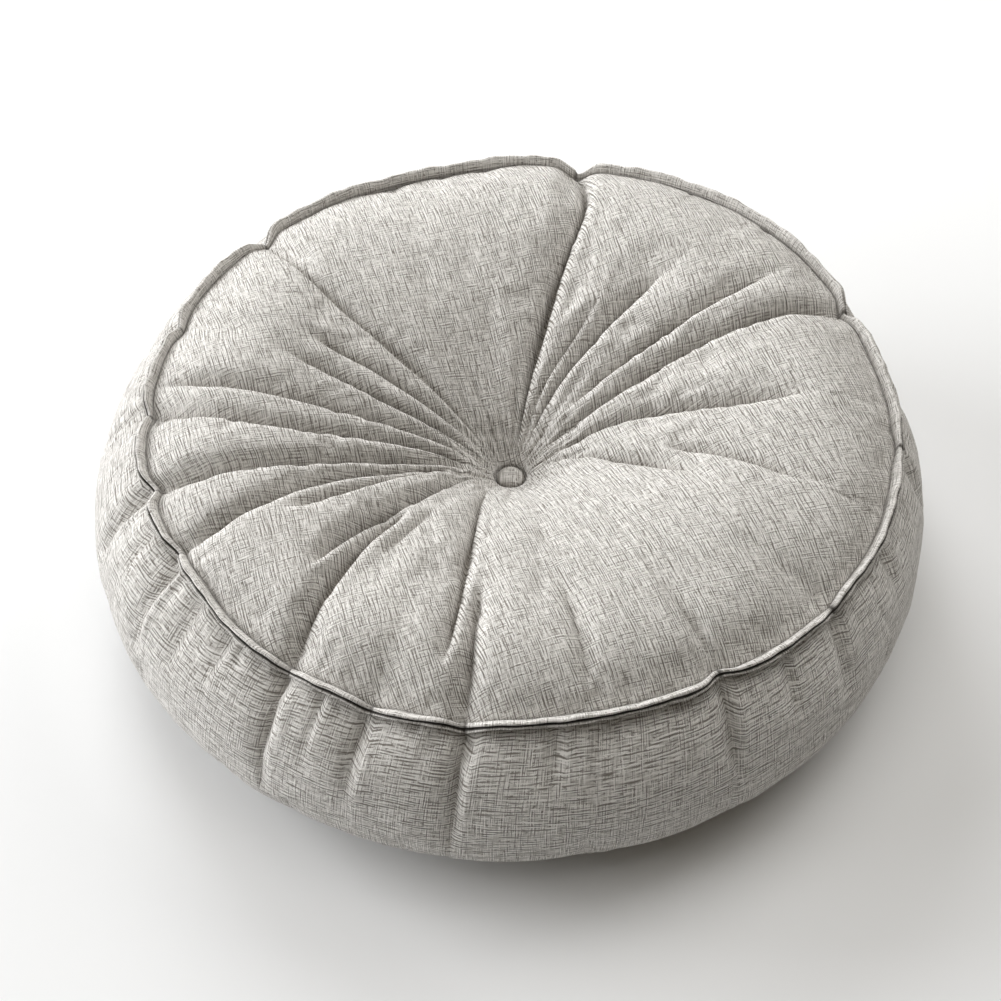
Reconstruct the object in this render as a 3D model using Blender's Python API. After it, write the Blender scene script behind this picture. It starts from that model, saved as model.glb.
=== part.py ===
"""Round tufted seat cushion: a filled body, a raised seam flange and a covered button.

Lengths are in millimetres in the tables and in metres in the scene. +Z is up, and the cushion lies
on its back with its middle over the origin. Angles run anticlockwise, seen from above, from +X.
"""
import math
from typing import NamedTuple

import bmesh
import bpy

MM = 0.001

# Driving sizes, in millimetres
BULGE_RADIUS = 280.0
SEAM_RADIUS = 248.0
SEAM_HEIGHT = 122.0
SEAM_CENTRE = (5.7, 15.0)
BUTTON_CENTRE = (1.0, 0.0)
BUTTON_RADIUS = 9.4
BUTTON_SEAT_RADIUS = 10.0
BUTTON_SEAT_HEIGHT = 73.0
FLANGE_ROOT_DROP = 1.2
FLANGE_LEAN_MEAN = 38.5
FLANGE_LEAN_SWING = 11.5
FIT_GAP = 0.3

# How pleats swell and fade, as shares of the way from the button to the seam
GATHER_AT_BUTTON = 0.10
GATHER_FULL_AT = 0.378
PLEAT_BEFORE_START = 0.03
PLEAT_AFTER_START = 0.10
PLEAT_END_FADE = 0.16
RIM_FADE_FROM = 0.86
RIM_FADE_SHARE = 0.8
PLEAT_SHARPNESS = 1.2

# How puckers swell and fade, as shares of the way down the side band, and how a pinch shortens the flange
PUCKER_FULL_AT = 0.08
PUCKER_FADE_FROM = 0.15
PUCKER_FADE_TO = 0.6
PUCKER_SHARPNESS = 1.3
TUCK_SHARE = 0.22

# How finely the round forms are cut
STATIONS = 132
FEWEST_STATIONS = 2
STATION_CROWDING = 0.45
BUTTON_STEPS = 36
SHARP_ANGLE = 50.0
MERGE_DISTANCE = 0.00001


class ProfileRow(NamedTuple):
    """A ring of the body: its radius, its height and how much of the seam's shift it takes."""
    name: str
    radius: float
    height: float
    follow: float


class Fold(NamedTuple):
    """A pleat of the top panel: its angle at five places from the button to the seam, and its form."""
    name: str
    hub: float
    inner: float
    middle: float
    outer: float
    rim: float
    start: float
    end: float
    depth: float
    wide: float
    narrow: float
    lip: int


class SeamRow(NamedTuple):
    """How far the seam stands out and up from a true circle at an angle."""
    angle: float
    out: float
    up: float


class Pinch(NamedTuple):
    """A place where a pleat drags the seam in and down, with its half width in degrees."""
    angle: float
    width: float
    inward: float
    drop: float


class Pucker(NamedTuple):
    """A crease that runs down the side band from the seam, leaning by some degrees."""
    angle: float
    lean: float
    reach: float
    depth: float
    width: float


PROFILE = (
    ProfileRow("button seat", BUTTON_SEAT_RADIUS, BUTTON_SEAT_HEIGHT, 0.0),
    ProfileRow("seat wall", 10.7, 76.2, 0.0),
    ProfileRow("gathered edge", 12.8, 79.4, 0.0),
    ProfileRow("hub slope", 18.0, 83.6, 0.0),
    ProfileRow("hollow 1", 27.0, 90.4, 0.0),
    ProfileRow("hollow 2", 40.0, 100.0, 0.0),
    ProfileRow("hollow 3", 57.0, 110.4, 0.01),
    ProfileRow("hollow 4", 76.0, 119.0, 0.02),
    ProfileRow("hollow 5", 97.0, 126.2, 0.05),
    ProfileRow("rise 1", 119.0, 131.9, 0.09),
    ProfileRow("rise 2", 141.0, 136.4, 0.16),
    ProfileRow("rise 3", 162.0, 139.8, 0.25),
    ProfileRow("crown 1", 182.0, 141.6, 0.37),
    ProfileRow("crown 2", 200.0, 141.2, 0.51),
    ProfileRow("crown 3", 215.0, 138.2, 0.65),
    ProfileRow("fall 1", 227.5, 133.6, 0.78),
    ProfileRow("fall 2", 237.5, 128.4, 0.90),
    ProfileRow("panel edge", 246.2, 122.4, 1.0),
    ProfileRow("seam", 247.9, 118.8, 1.0),
    ProfileRow("band edge", 249.7, 118.4, 1.0),
    ProfileRow("shoulder", 255.5, 115.6, 0.96),
    ProfileRow("band 1", 264.0, 108.4, 0.68),
    ProfileRow("band 2", 271.8, 97.0, 0.36),
    ProfileRow("band 3", 277.4, 82.0, 0.12),
    ProfileRow("bulge 1", BULGE_RADIUS, 66.0, 0.0),
    ProfileRow("bulge 2", BULGE_RADIUS, 50.0, 0.0),
    ProfileRow("roll 1", 275.0, 34.0, 0.0),
    ProfileRow("roll 2", 263.5, 20.0, 0.0),
    ProfileRow("roll 3", 246.0, 9.2, 0.0),
    ProfileRow("roll 4", 223.0, 2.4, 0.0),
    ProfileRow("foot", 198.0, 0.0, 0.0),
)

FOLD_PLACES = (0.10, 0.30, 0.55, 0.80, 1.00)
FOLDS = (
    Fold("right", 15, 11.5, 5.0, 3.5, 1.5, 0.10, 0.78, 12.0, 9, 6, -1),
    Fold("right high", 31, 28.5, 28.2, 26.6, 24.2, 0.10, 1.00, 12.0, 8.5, 6, -1),
    Fold("right upper", 44, 40.5, 37.8, 35.8, 34.5, 0.20, 0.88, 10.5, 8, 5, -1),
    Fold("back right", 63, 58.5, 53.5, 49.5, 48, 0.07, 0.68, 13.0, 9.5, 6, -1),
    Fold("back inner", 74, 66, 62, 60, 59, 0.12, 0.52, 5.0, 7, 5, -1),
    Fold("back", 79.5, 78.7, 77.4, 76.4, 80.5, 0.06, 1.00, 14.0, 10, 6, -1),
    Fold("back left", 141, 142, 143, 141, 138.3, 0.10, 1.00, 6.0, 9, 6, 1),
    Fold("left back", 151, 153.5, 155, 156, 157, 0.12, 0.66, 8.5, 9, 6, 1),
    Fold("left high", 161.5, 165, 163.8, 162.5, 162, 0.08, 0.68, 11.5, 8, 5, 1),
    Fold("left upper", 174, 176.8, 176.5, 176, 175, 0.12, 0.99, 12.5, 10, 6, 1),
    Fold("left", 184, 187.5, 187, 184.2, 181.1, 0.08, 1.00, 13.0, 9, 6, 1),
    Fold("left lower", 195, 199, 198.7, 198, 196.8, 0.10, 1.00, 14.5, 11, 6, 1),
    Fold("left front", 203, 205.5, 206.6, 208.8, 209.8, 0.16, 1.00, 12.0, 9, 6, 1),
    Fold("front left soft", 208, 210, 212.3, 213, 213, 0.24, 0.74, 6.5, 7, 5, 1),
    Fold("front left inner", 213, 223.6, 225.3, 227.8, 229, 0.08, 0.80, 14.5, 10, 6, 1),
    Fold("front left", 227, 228.5, 230, 233.7, 236.6, 0.42, 1.00, 14.0, 10, 6, 1),
    Fold("front wrinkle", 236, 236, 236.5, 238.5, 241, 0.36, 0.66, 3.5, 7, 5, 1),
    Fold("front", 240, 252.5, 257.3, 258.6, 257.5, 0.09, 0.90, 11.0, 8, 5.5, 1),
    Fold("front rim", 252, 259, 261.7, 262.8, 263.1, 0.62, 1.00, 8.0, 8, 7, 1),
    Fold("front soft", 281, 281, 281.5, 281.5, 281, 0.60, 0.99, 4.0, 11, 10, -1),
    Fold("front right soft", 303, 302, 301.5, 301, 300.2, 0.76, 1.00, 4.0, 9, 7, -1),
    Fold("right low", 361, 344, 337.5, 334, 332, 0.09, 0.54, 9.5, 9, 6, -1),
    Fold("right wrinkle", 368, 353, 346, 341, 340, 0.40, 0.84, 6.0, 8, 6, -1),
)

SEAM_ROWS = (
    SeamRow(0, 1.0, 0.0), SeamRow(15, -0.5, -0.5), SeamRow(30, 2.0, 1.5), SeamRow(42, 4.0, 4.0),
    SeamRow(52, 4.5, 4.0), SeamRow(65, 3.2, 3.0), SeamRow(78, 1.0, 1.0), SeamRow(90, 0.8, 1.0),
    SeamRow(100, -1.3, -1.2), SeamRow(112, -2.1, -2.0), SeamRow(122, -1.0, -1.0),
    SeamRow(133, -1.0, -1.0), SeamRow(150, -0.8, -0.5), SeamRow(165, -1.5, -0.8),
    SeamRow(180, -1.2, -0.5), SeamRow(192, 0.0, 0.0), SeamRow(205, -1.0, 0.0),
    SeamRow(216, -3.2, 1.0), SeamRow(224, 0.0, 0.0), SeamRow(231, 1.5, -0.8),
    SeamRow(241, 0.8, -0.5), SeamRow(255, 1.2, -1.5), SeamRow(268, -0.6, 0.8),
    SeamRow(278, -2.0, 2.5), SeamRow(292, -2.2, 3.2), SeamRow(304, -1.5, 1.5),
    SeamRow(315, 0.3, -0.2), SeamRow(326, 0.5, -0.6), SeamRow(338, 2.5, -0.5),
    SeamRow(350, 1.2, 0.0), SeamRow(360, 1.0, 0.0),
)

PINCHES = (
    Pinch(24.2, 2.4, 3.5, 3.0),
    Pinch(80.5, 2.6, 3.0, 6.0),
    Pinch(138.3, 2.4, 4.0, 4.0),
    Pinch(162, 2.6, 2.5, 1.0),
    Pinch(181.1, 2.6, 2.5, 2.5),
    Pinch(196.8, 2.2, 5.5, 2.0),
    Pinch(209.8, 2.4, 2.5, 2.5),
    Pinch(236.6, 2.2, 1.5, 5.0),
    Pinch(250, 2.4, -1.0, 3.2),
    Pinch(263.1, 2.4, 0.5, 6.0),
    Pinch(300.2, 2.2, 3.5, -1.0),
    Pinch(321.5, 2.4, -1.0, 3.2),
    Pinch(354.5, 2.6, -2.5, 0.5),
)

PUCKERS = (
    Pucker(12, 0, 0.50, 3.5, 10), Pucker(24.2, 0, 0.60, 4.5, 10), Pucker(47, 0, 0.40, 2.5, 9),
    Pucker(66, -2, 0.50, 3.0, 10), Pucker(80.5, 0, 0.65, 5.0, 10), Pucker(100, 2, 0.40, 2.5, 9),
    Pucker(120, 0, 0.50, 3.0, 10), Pucker(138.3, 0, 0.65, 5.0, 10), Pucker(160, 0, 0.50, 4.0, 10),
    Pucker(177, 3, 0.55, 4.5, 10), Pucker(196.8, -7, 0.60, 5.0, 10), Pucker(204, -5, 0.60, 4.0, 9),
    Pucker(211, 0, 0.65, 5.5, 10), Pucker(219, 0, 0.50, 3.5, 9), Pucker(226, 0, 0.45, 3.0, 8),
    Pucker(236.6, 1, 0.75, 6.5, 11), Pucker(243, 0, 0.45, 3.0, 8), Pucker(249.5, 0, 0.70, 5.5, 10),
    Pucker(263.5, 0, 0.80, 5.0, 10), Pucker(276, 1, 0.35, 2.5, 8), Pucker(300.2, 4, 0.60, 4.5, 10),
    Pucker(311, 2, 0.40, 2.5, 8), Pucker(321.5, 0, 0.60, 5.0, 10), Pucker(336, 2, 0.50, 3.5, 10),
    Pucker(354, 3, 0.60, 4.5, 10),
)

# The flange's section: along its lean from the root, then across it, the cushion's middle side first
FLANGE_SECTION = (
    (-0.5, 0.35), (1.4, 1.0), (3.0, 2.1), (6.4, 2.2), (7.3, 1.3), (6.7, 0.45), (4.4, 0.1),
    (6.3, -0.4), (6.9, -1.2), (6.1, -2.0), (3.0, -1.9), (1.4, -1.0), (-0.5, -0.35),
)

# The button's half section, from its flat back to the top of its dome
BUTTON_SECTION = (
    (0.0, 0.0), (8.6, 0.0), (BUTTON_RADIUS, 1.0), (BUTTON_RADIUS, 2.8), (8.7, 4.5), (7.0, 5.6),
    (4.4, 6.4), (0.0, 6.8),
)

CLOTH_GREY = (0.56, 0.54, 0.50, 1.0)
CLOTH_ROUGHNESS = 0.9


def smooth_step(low, high, value):
    """Rises smoothly from 0 at low to 1 at high."""
    if high <= low:
        return 1.0 if value >= low else 0.0
    k = min(max((value - low) / (high - low), 0.0), 1.0)
    return k * k * (3.0 - 2.0 * k)


def turn_between(a, b):
    """The signed angle from b to a, between -180 and 180 degrees."""
    return (a - b + 180.0) % 360.0 - 180.0


def curve_through(places, values, x):
    """A smooth curve through the given values, flat beyond both ends."""
    if x <= places[0]:
        return values[0]
    if x >= places[-1]:
        return values[-1]
    i = max(k for k in range(len(places) - 1) if places[k] <= x)
    span = places[i + 1] - places[i]
    last = len(places) - 1

    def slope(k):
        before, after = max(k - 1, 0), min(k + 1, last)
        return (values[after] - values[before]) / (places[after] - places[before])

    k = (x - places[i]) / span
    k2, k3 = k * k, k * k * k
    return (values[i] * (2 * k3 - 3 * k2 + 1) + values[i + 1] * (3 * k2 - 2 * k3)
            + span * (slope(i) * (k3 - 2 * k2 + k) + slope(i + 1) * (k3 - k2)))


def fold_angle(fold, place):
    """The angle of a pleat's valley at a place from 0, the button, to 1, the seam."""
    return curve_through(FOLD_PLACES, (fold.hub, fold.inner, fold.middle, fold.outer, fold.rim), place)


def fold_drop(angle, place):
    """How far the pleats lower the top panel at an angle and a place."""
    total = 0.0
    gather = min(1.0, GATHER_AT_BUTTON + (1.0 - GATHER_AT_BUTTON) * place / GATHER_FULL_AT)
    for fold in FOLDS:
        along = smooth_step(fold.start - PLEAT_BEFORE_START, fold.start + PLEAT_AFTER_START, place)
        if fold.end < 1.0:
            along *= 1.0 - smooth_step(fold.end - PLEAT_END_FADE, fold.end, place)
        else:
            along *= 1.0 - RIM_FADE_SHARE * smooth_step(RIM_FADE_FROM, 1.0, place)
        if along <= 0.0:
            continue
        across = turn_between(angle, fold_angle(fold, place)) * fold.lip
        width = (fold.narrow if across > 0.0 else fold.wide) * gather
        distance = abs(math.radians(across)) * place * SEAM_RADIUS
        total += fold.depth * gather * along * math.exp(-(distance / width) ** PLEAT_SHARPNESS)
    return total


def seam_shift(angle):
    """How far the seam stands out and up at an angle, pinches included."""
    angle %= 360.0
    angles = [row.angle for row in SEAM_ROWS]
    out = curve_through(angles, [row.out for row in SEAM_ROWS], angle)
    up = curve_through(angles, [row.up for row in SEAM_ROWS], angle)
    for pinch in PINCHES:
        near = math.exp(-(turn_between(angle, pinch.angle) / pinch.width) ** 2)
        out -= pinch.inward * near
        up -= pinch.drop * near
    return out, up


def pinch_nearness(angle):
    """1 in the middle of a pinch, fading to 0 away from all of them."""
    return max(math.exp(-(turn_between(angle, pinch.angle) / pinch.width) ** 2) for pinch in PINCHES)


def pucker_dent(angle, reach):
    """How far the side band is drawn in at an angle, a share of the way from seam to foot."""
    total = 0.0
    for pucker in PUCKERS:
        along = smooth_step(0.0, PUCKER_FULL_AT, reach)
        along *= 1.0 - smooth_step(pucker.reach * PUCKER_FADE_FROM, pucker.reach * PUCKER_FADE_TO, reach)
        distance = abs(math.radians(turn_between(angle, pucker.angle + pucker.lean * reach))) * BULGE_RADIUS
        total += pucker.depth * along * math.exp(-(distance / pucker.width) ** PUCKER_SHARPNESS)
    return total


def station_counts():
    """The number of stations between each pleat and the next, in step with the gaps between them."""
    gaps = [(after.outer - fold.outer) % 360.0 for fold, after in zip(FOLDS, FOLDS[1:] + FOLDS[:1])]
    counts = [max(FEWEST_STATIONS, round(STATIONS * gap / 360.0)) for gap in gaps]
    while sum(counts) < STATIONS:
        widest = max(range(len(gaps)), key=lambda k: gaps[k] / counts[k])
        counts[widest] += 1
    while sum(counts) > STATIONS:
        spare = [k for k in range(len(gaps)) if counts[k] > FEWEST_STATIONS]
        narrowest = min(spare, key=lambda k: gaps[k] / counts[k])
        counts[narrowest] -= 1
    return counts


def station_angles(place, counts):
    """The angle of every station at a place, so that a station runs along each pleat's valley."""
    angles = []
    for k, fold in enumerate(FOLDS):
        low = fold_angle(fold, place)
        gap = (fold_angle(FOLDS[(k + 1) % len(FOLDS)], place) - low) % 360.0
        for i in range(counts[k]):
            share = i / counts[k]
            share -= STATION_CROWDING * math.sin(2.0 * math.pi * share) / (2.0 * math.pi)
            angles.append(low + gap * share)
    return angles


def body_point(row, angle, reach):
    """A point of the body on a ring of the profile, in metres; reach is None on the top panel."""
    out, up = seam_shift(angle)
    place = min(row.radius / SEAM_RADIUS, 1.0)
    radius, height = row.radius, row.height
    if reach is None:
        height -= fold_drop(angle, place)
        centre = [BUTTON_CENTRE[i] + (SEAM_CENTRE[i] - BUTTON_CENTRE[i]) * place for i in (0, 1)]
    else:
        radius -= pucker_dent(angle, reach)
        centre = [SEAM_CENTRE[i] * row.follow for i in (0, 1)]
    radius += out * row.follow
    height += up * row.follow
    turn = math.radians(angle)
    return ((centre[0] + radius * math.cos(turn)) * MM,
            (centre[1] + radius * math.sin(turn)) * MM, height * MM)


def side_reaches():
    """For each ring of the profile, None on the top panel and its share of the way down the side band."""
    seam = next(k for k, row in enumerate(PROFILE) if row.name == "seam")
    lengths = [0.0]
    for before, after in zip(PROFILE[seam:], PROFILE[seam + 1:]):
        lengths.append(lengths[-1] + math.hypot(after.radius - before.radius, after.height - before.height))
    return [None] * seam + [length / lengths[-1] for length in lengths]


def loft(bm, rings):
    """Extrudes a first ring of points through the others and returns the first and last edge loops."""
    verts = [bm.verts.new(point) for point in rings[0]]
    edges = [bm.edges.new((verts[i], verts[(i + 1) % len(verts)])) for i in range(len(verts))]
    first = list(edges)
    for ring in rings[1:]:
        grown = bmesh.ops.extrude_edge_only(bm, edges=edges)["geom"]
        new_verts = [item for item in grown if isinstance(item, bmesh.types.BMVert)]
        source = {tuple(vert.co): k for k, vert in enumerate(verts)}
        ordered = [None] * len(verts)
        for vert in new_verts:
            ordered[source[tuple(vert.co)]] = vert
        for vert, point in zip(ordered, ring):
            vert.co = point
        edges = [bm.edges.get((ordered[i], ordered[(i + 1) % len(ordered)])) for i in range(len(ordered))]
        verts = ordered
    return first, edges


def finish_mesh(name, bm, material):
    """Turns a closed bmesh into a smooth named object."""
    bmesh.ops.recalc_face_normals(bm, faces=bm.faces[:])
    mesh = bpy.data.meshes.new(name)
    bm.to_mesh(mesh)
    bm.free()
    mesh.materials.append(material)
    mesh.shade_smooth()
    mesh.set_sharp_from_angle(angle=math.radians(SHARP_ANGLE))
    obj = bpy.data.objects.new(name, mesh)
    bpy.context.scene.collection.objects.link(obj)
    return obj


def make_cloth(name):
    """The cushion's grey cloth, under the name of the piece that it covers."""
    material = bpy.data.materials.new(name)
    material.use_nodes = True
    shader = material.node_tree.nodes["Principled BSDF"]
    shader.inputs["Base Color"].default_value = CLOTH_GREY
    shader.inputs["Roughness"].default_value = CLOTH_ROUGHNESS
    shader.inputs["Metallic"].default_value = 0.0
    return material


def make_body(material):
    """The filled cushion: rings of the profile joined by extrusion, closed under the button and below."""
    counts = station_counts()
    reaches = side_reaches()
    rings = []
    for row, reach in zip(PROFILE, reaches):
        angles = station_angles(min(row.radius / SEAM_RADIUS, 1.0), counts)
        rings.append([body_point(row, angle, reach) for angle in angles])
    bm = bmesh.new()
    seat_edges, foot_edges = loft(bm, rings)
    for edges in (seat_edges, foot_edges):
        cap = bmesh.ops.contextual_create(bm, geom=edges)["faces"]
        bmesh.ops.poke(bm, faces=cap)
    return finish_mesh("cushion_body", bm, material)


def flange_point(angle, along, across):
    """A point of the flange's section at an angle, in metres."""
    out, up = seam_shift(angle)
    lean = math.radians(FLANGE_LEAN_MEAN + FLANGE_LEAN_SWING * math.sin(math.radians(angle)))
    if along > 0.0:
        along *= 1.0 - TUCK_SHARE * pinch_nearness(angle)
    radius = SEAM_RADIUS + out + along * math.cos(lean) - across * math.sin(lean)
    height = SEAM_HEIGHT + up - FLANGE_ROOT_DROP + along * math.sin(lean) + across * math.cos(lean)
    turn = math.radians(angle)
    return ((SEAM_CENTRE[0] + radius * math.cos(turn)) * MM,
            (SEAM_CENTRE[1] + radius * math.sin(turn)) * MM, height * MM)


def make_flange(material):
    """The raised flange: its section carried round the seam and closed on itself."""
    angles = station_angles(1.0, station_counts())
    rings = [[flange_point(angle, along, across) for angle in angles] for along, across in FLANGE_SECTION]
    bm = bmesh.new()
    first, last = loft(bm, rings)
    bmesh.ops.bridge_loops(bm, edges=first + last)
    return finish_mesh("seam_flange", bm, material)


def make_button(material):
    """The covered button: its half section turned about the button's axis."""
    bm = bmesh.new()
    base = BUTTON_SEAT_HEIGHT + FIT_GAP
    section = [bm.verts.new(((BUTTON_CENTRE[0] + r) * MM, BUTTON_CENTRE[1] * MM, (base + h) * MM))
               for r, h in BUTTON_SECTION]
    for before, after in zip(section, section[1:]):
        bm.edges.new((before, after))
    middle = (BUTTON_CENTRE[0] * MM, BUTTON_CENTRE[1] * MM, 0.0)
    bmesh.ops.spin(bm, geom=bm.verts[:] + bm.edges[:], cent=middle, axis=(0.0, 0.0, 1.0),
                   angle=2.0 * math.pi, steps=BUTTON_STEPS, use_merge=True, use_duplicate=False)
    bmesh.ops.remove_doubles(bm, verts=bm.verts[:], dist=MERGE_DISTANCE)
    return finish_mesh("tuft_button", bm, material)


def clear_scene():
    """Removes what the scene holds."""
    for obj in list(bpy.data.objects):
        bpy.data.objects.remove(obj, do_unlink=True)


def main():
    """Builds the three pieces."""
    clear_scene()
    make_body(make_cloth("body_cloth"))
    make_flange(make_cloth("flange_cloth"))
    make_button(make_cloth("button_cloth"))


main()
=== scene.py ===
"""A round tufted seat cushion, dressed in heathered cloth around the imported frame.

The filled body, its raised seam flange and its covered button are modelled here as fine meshes over the
plain solids, with the same driving sizes. Tables hold millimetres and degrees; everything in the scene is
in metres, +Z up, with the cushion's middle over the origin. Angles run anticlockwise from +X, seen from
above.
"""
import logging
import math
import random
from dataclasses import dataclass, field
from enum import Enum

import bmesh
import bpy
import numpy as np
from mathutils import Matrix, Vector, noise


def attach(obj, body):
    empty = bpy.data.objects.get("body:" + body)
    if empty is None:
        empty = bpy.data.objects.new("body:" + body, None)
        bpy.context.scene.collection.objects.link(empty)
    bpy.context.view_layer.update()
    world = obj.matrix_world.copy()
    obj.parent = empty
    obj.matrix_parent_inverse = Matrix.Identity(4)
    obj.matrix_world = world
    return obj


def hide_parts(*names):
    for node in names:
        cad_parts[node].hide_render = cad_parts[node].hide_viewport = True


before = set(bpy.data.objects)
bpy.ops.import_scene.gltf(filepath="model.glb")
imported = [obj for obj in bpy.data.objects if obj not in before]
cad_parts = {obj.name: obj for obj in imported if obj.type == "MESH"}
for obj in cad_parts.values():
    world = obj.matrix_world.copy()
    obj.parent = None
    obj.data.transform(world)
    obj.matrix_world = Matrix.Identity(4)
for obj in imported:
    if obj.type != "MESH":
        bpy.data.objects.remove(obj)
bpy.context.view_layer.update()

log = logging.getLogger("cushion")

MM = 0.001
BODY = "root"
RING_LAYER = "ring"
LAY_ATTRIBUTE = "lay"
SWELL_ATTRIBUTE = "swell"
# The attribute that holds painted shade: how far each vertex's colour is darkened in creases, grooves and
# seams.
PAINTED_SHADE_ATTRIBUTE = "crease"
UV_NAME = "cloth"

Numbers = np.ndarray


# Shared curves

def smooth_step(low: float, high: float, value: Numbers) -> Numbers:
    """Rises smoothly from 0 at low to 1 at high.

    Args:
        low: Where the rise starts.
        high: Where the rise ends.
        value: The places to read.

    Returns:
        The risen share at each place.
    """
    share = np.clip((value - low) / (high - low), 0.0, 1.0)
    return share * share * (3.0 - 2.0 * share)


def hump(value: Numbers, middle: float, width: float) -> Numbers:
    """A smooth hump, 1 at its middle, that falls away over about a width."""
    return np.exp(-((value - middle) / width) ** 2)


def lengths_along(line: Numbers) -> Numbers:
    """How far each point of a line lies from its start, from rows of two numbers."""
    return np.concatenate([[0.0], np.cumsum(np.hypot(*np.diff(line, axis=0).T))])


def waves(turn: Numbers, rows: tuple[tuple[float, int, float], ...]) -> Numbers:
    """Sine waves round the cushion, summed from rows of a height, a count and a phase."""
    return sum(height * np.sin(count * turn + phase) for height, count, phase in rows)


def turn_between(first: Numbers, second: Numbers) -> Numbers:
    """The signed angle from second to first, between -180 and 180 degrees."""
    return (first - second + 180.0) % 360.0 - 180.0


def curve_through(places: list[float], values: list[float], x: Numbers) -> Numbers:
    """Reads a smooth curve through some values, held level beyond both ends.

    Args:
        places: Where the values stand, in rising order.
        values: The value at each place.
        x: The places to read.

    Returns:
        The curve's value at each x.
    """
    at, to = np.asarray(places, float), np.asarray(values, float)
    slopes = np.zeros_like(to)
    slopes[1:-1] = (to[2:] - to[:-2]) / (at[2:] - at[:-2])
    slopes[0] = (to[1] - to[0]) / (at[1] - at[0])
    slopes[-1] = (to[-1] - to[-2]) / (at[-1] - at[-2])
    x = np.clip(x, at[0], at[-1])
    i = np.clip(np.searchsorted(at, x, side="right") - 1, 0, len(at) - 2)
    span = at[i + 1] - at[i]
    k = (x - at[i]) / span
    k2, k3 = k * k, k * k * k
    return (to[i] * (2 * k3 - 3 * k2 + 1) + to[i + 1] * (3 * k2 - 2 * k3)
            + span * (slopes[i] * (k3 - 2 * k2 + k) + slopes[i + 1] * (k3 - k2)))


# The cushion's form, as the plain solids have it

@dataclass(frozen=True)
class ProfileRow:
    """A ring of the body: its radius, its height and how much of the seam's shift it takes."""

    name: str
    radius: float
    height: float
    follow: float

    def gap(self, other: "ProfileRow") -> float:
        """How far another ring lies from this one along the section."""
        return math.hypot(other.radius - self.radius, other.height - self.height)


@dataclass(frozen=True)
class Pleat:
    """A pleat of the top panel: its angle at five places from the button to the seam, and its form."""

    name: str
    hub: float
    inner: float
    middle: float
    outer: float
    rim: float
    start: float
    end: float
    depth: float
    wide: float
    narrow: float
    lip: int

    PLACES = (0.10, 0.30, 0.55, 0.80, 1.00)

    def angle(self, place: Numbers) -> Numbers:
        """The angle of the pleat's valley at places from 0, the button, to 1, the seam."""
        return curve_through(self.PLACES, (self.hub, self.inner, self.middle, self.outer, self.rim), place)

    def strength(self, place: Numbers) -> Numbers:
        """How much of the pleat's depth there is at places from the button to the seam."""
        along = smooth_step(self.start - 0.03, self.start + 0.10, place)
        if self.end < 1.0:
            return along * (1.0 - smooth_step(self.end - 0.16, self.end, place))
        return along * (1.0 - 0.8 * smooth_step(0.86, 1.0, place))


@dataclass(frozen=True)
class SeamRow:
    """How far the seam stands out and up from a true circle at an angle."""

    angle: float
    out: float
    up: float


@dataclass(frozen=True)
class Pinch:
    """A place where a pleat drags the seam in and down, with its half width in degrees."""

    angle: float
    width: float
    inward: float
    drop: float


@dataclass(frozen=True)
class Pucker:
    """A crease that runs down the side band from the seam, leaning by some degrees."""

    angle: float
    lean: float
    reach: float
    depth: float
    width: float


PROFILE = (
    ProfileRow("seat middle", 0.0, 73.0, 0.0),
    ProfileRow("button seat", 10.0, 73.0, 0.0),
    ProfileRow("seat wall", 10.7, 76.2, 0.0),
    ProfileRow("gathered edge", 12.8, 79.4, 0.0),
    ProfileRow("hub slope", 18.0, 83.6, 0.0),
    ProfileRow("hollow 1", 27.0, 90.4, 0.0),
    ProfileRow("hollow 2", 40.0, 100.0, 0.0),
    ProfileRow("hollow 3", 57.0, 110.4, 0.01),
    ProfileRow("hollow 4", 76.0, 119.0, 0.02),
    ProfileRow("hollow 5", 97.0, 126.2, 0.05),
    ProfileRow("rise 1", 119.0, 131.9, 0.09),
    ProfileRow("rise 2", 141.0, 136.4, 0.16),
    ProfileRow("rise 3", 162.0, 139.8, 0.25),
    ProfileRow("crown 1", 182.0, 141.6, 0.37),
    ProfileRow("crown 2", 200.0, 141.2, 0.51),
    ProfileRow("crown 3", 215.0, 138.2, 0.65),
    ProfileRow("fall 1", 227.5, 133.6, 0.78),
    ProfileRow("fall 2", 237.5, 128.4, 0.90),
    ProfileRow("panel edge", 246.2, 122.4, 1.0),
    ProfileRow("seam", 247.9, 118.8, 1.0),
    ProfileRow("band edge", 249.7, 118.4, 1.0),
    ProfileRow("shoulder", 255.5, 115.6, 0.96),
    ProfileRow("band 1", 264.0, 108.4, 0.68),
    ProfileRow("band 2", 271.8, 97.0, 0.36),
    ProfileRow("band 3", 277.4, 82.0, 0.12),
    ProfileRow("bulge 1", 280.0, 66.0, 0.0),
    ProfileRow("bulge 2", 280.0, 50.0, 0.0),
    ProfileRow("roll 1", 275.0, 34.0, 0.0),
    ProfileRow("roll 2", 263.5, 20.0, 0.0),
    ProfileRow("roll 3", 246.0, 9.2, 0.0),
    ProfileRow("roll 4", 223.0, 2.4, 0.0),
    ProfileRow("foot", 198.0, 0.0, 0.0),
    ProfileRow("base middle", 0.0, 0.0, 0.0),
)

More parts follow.
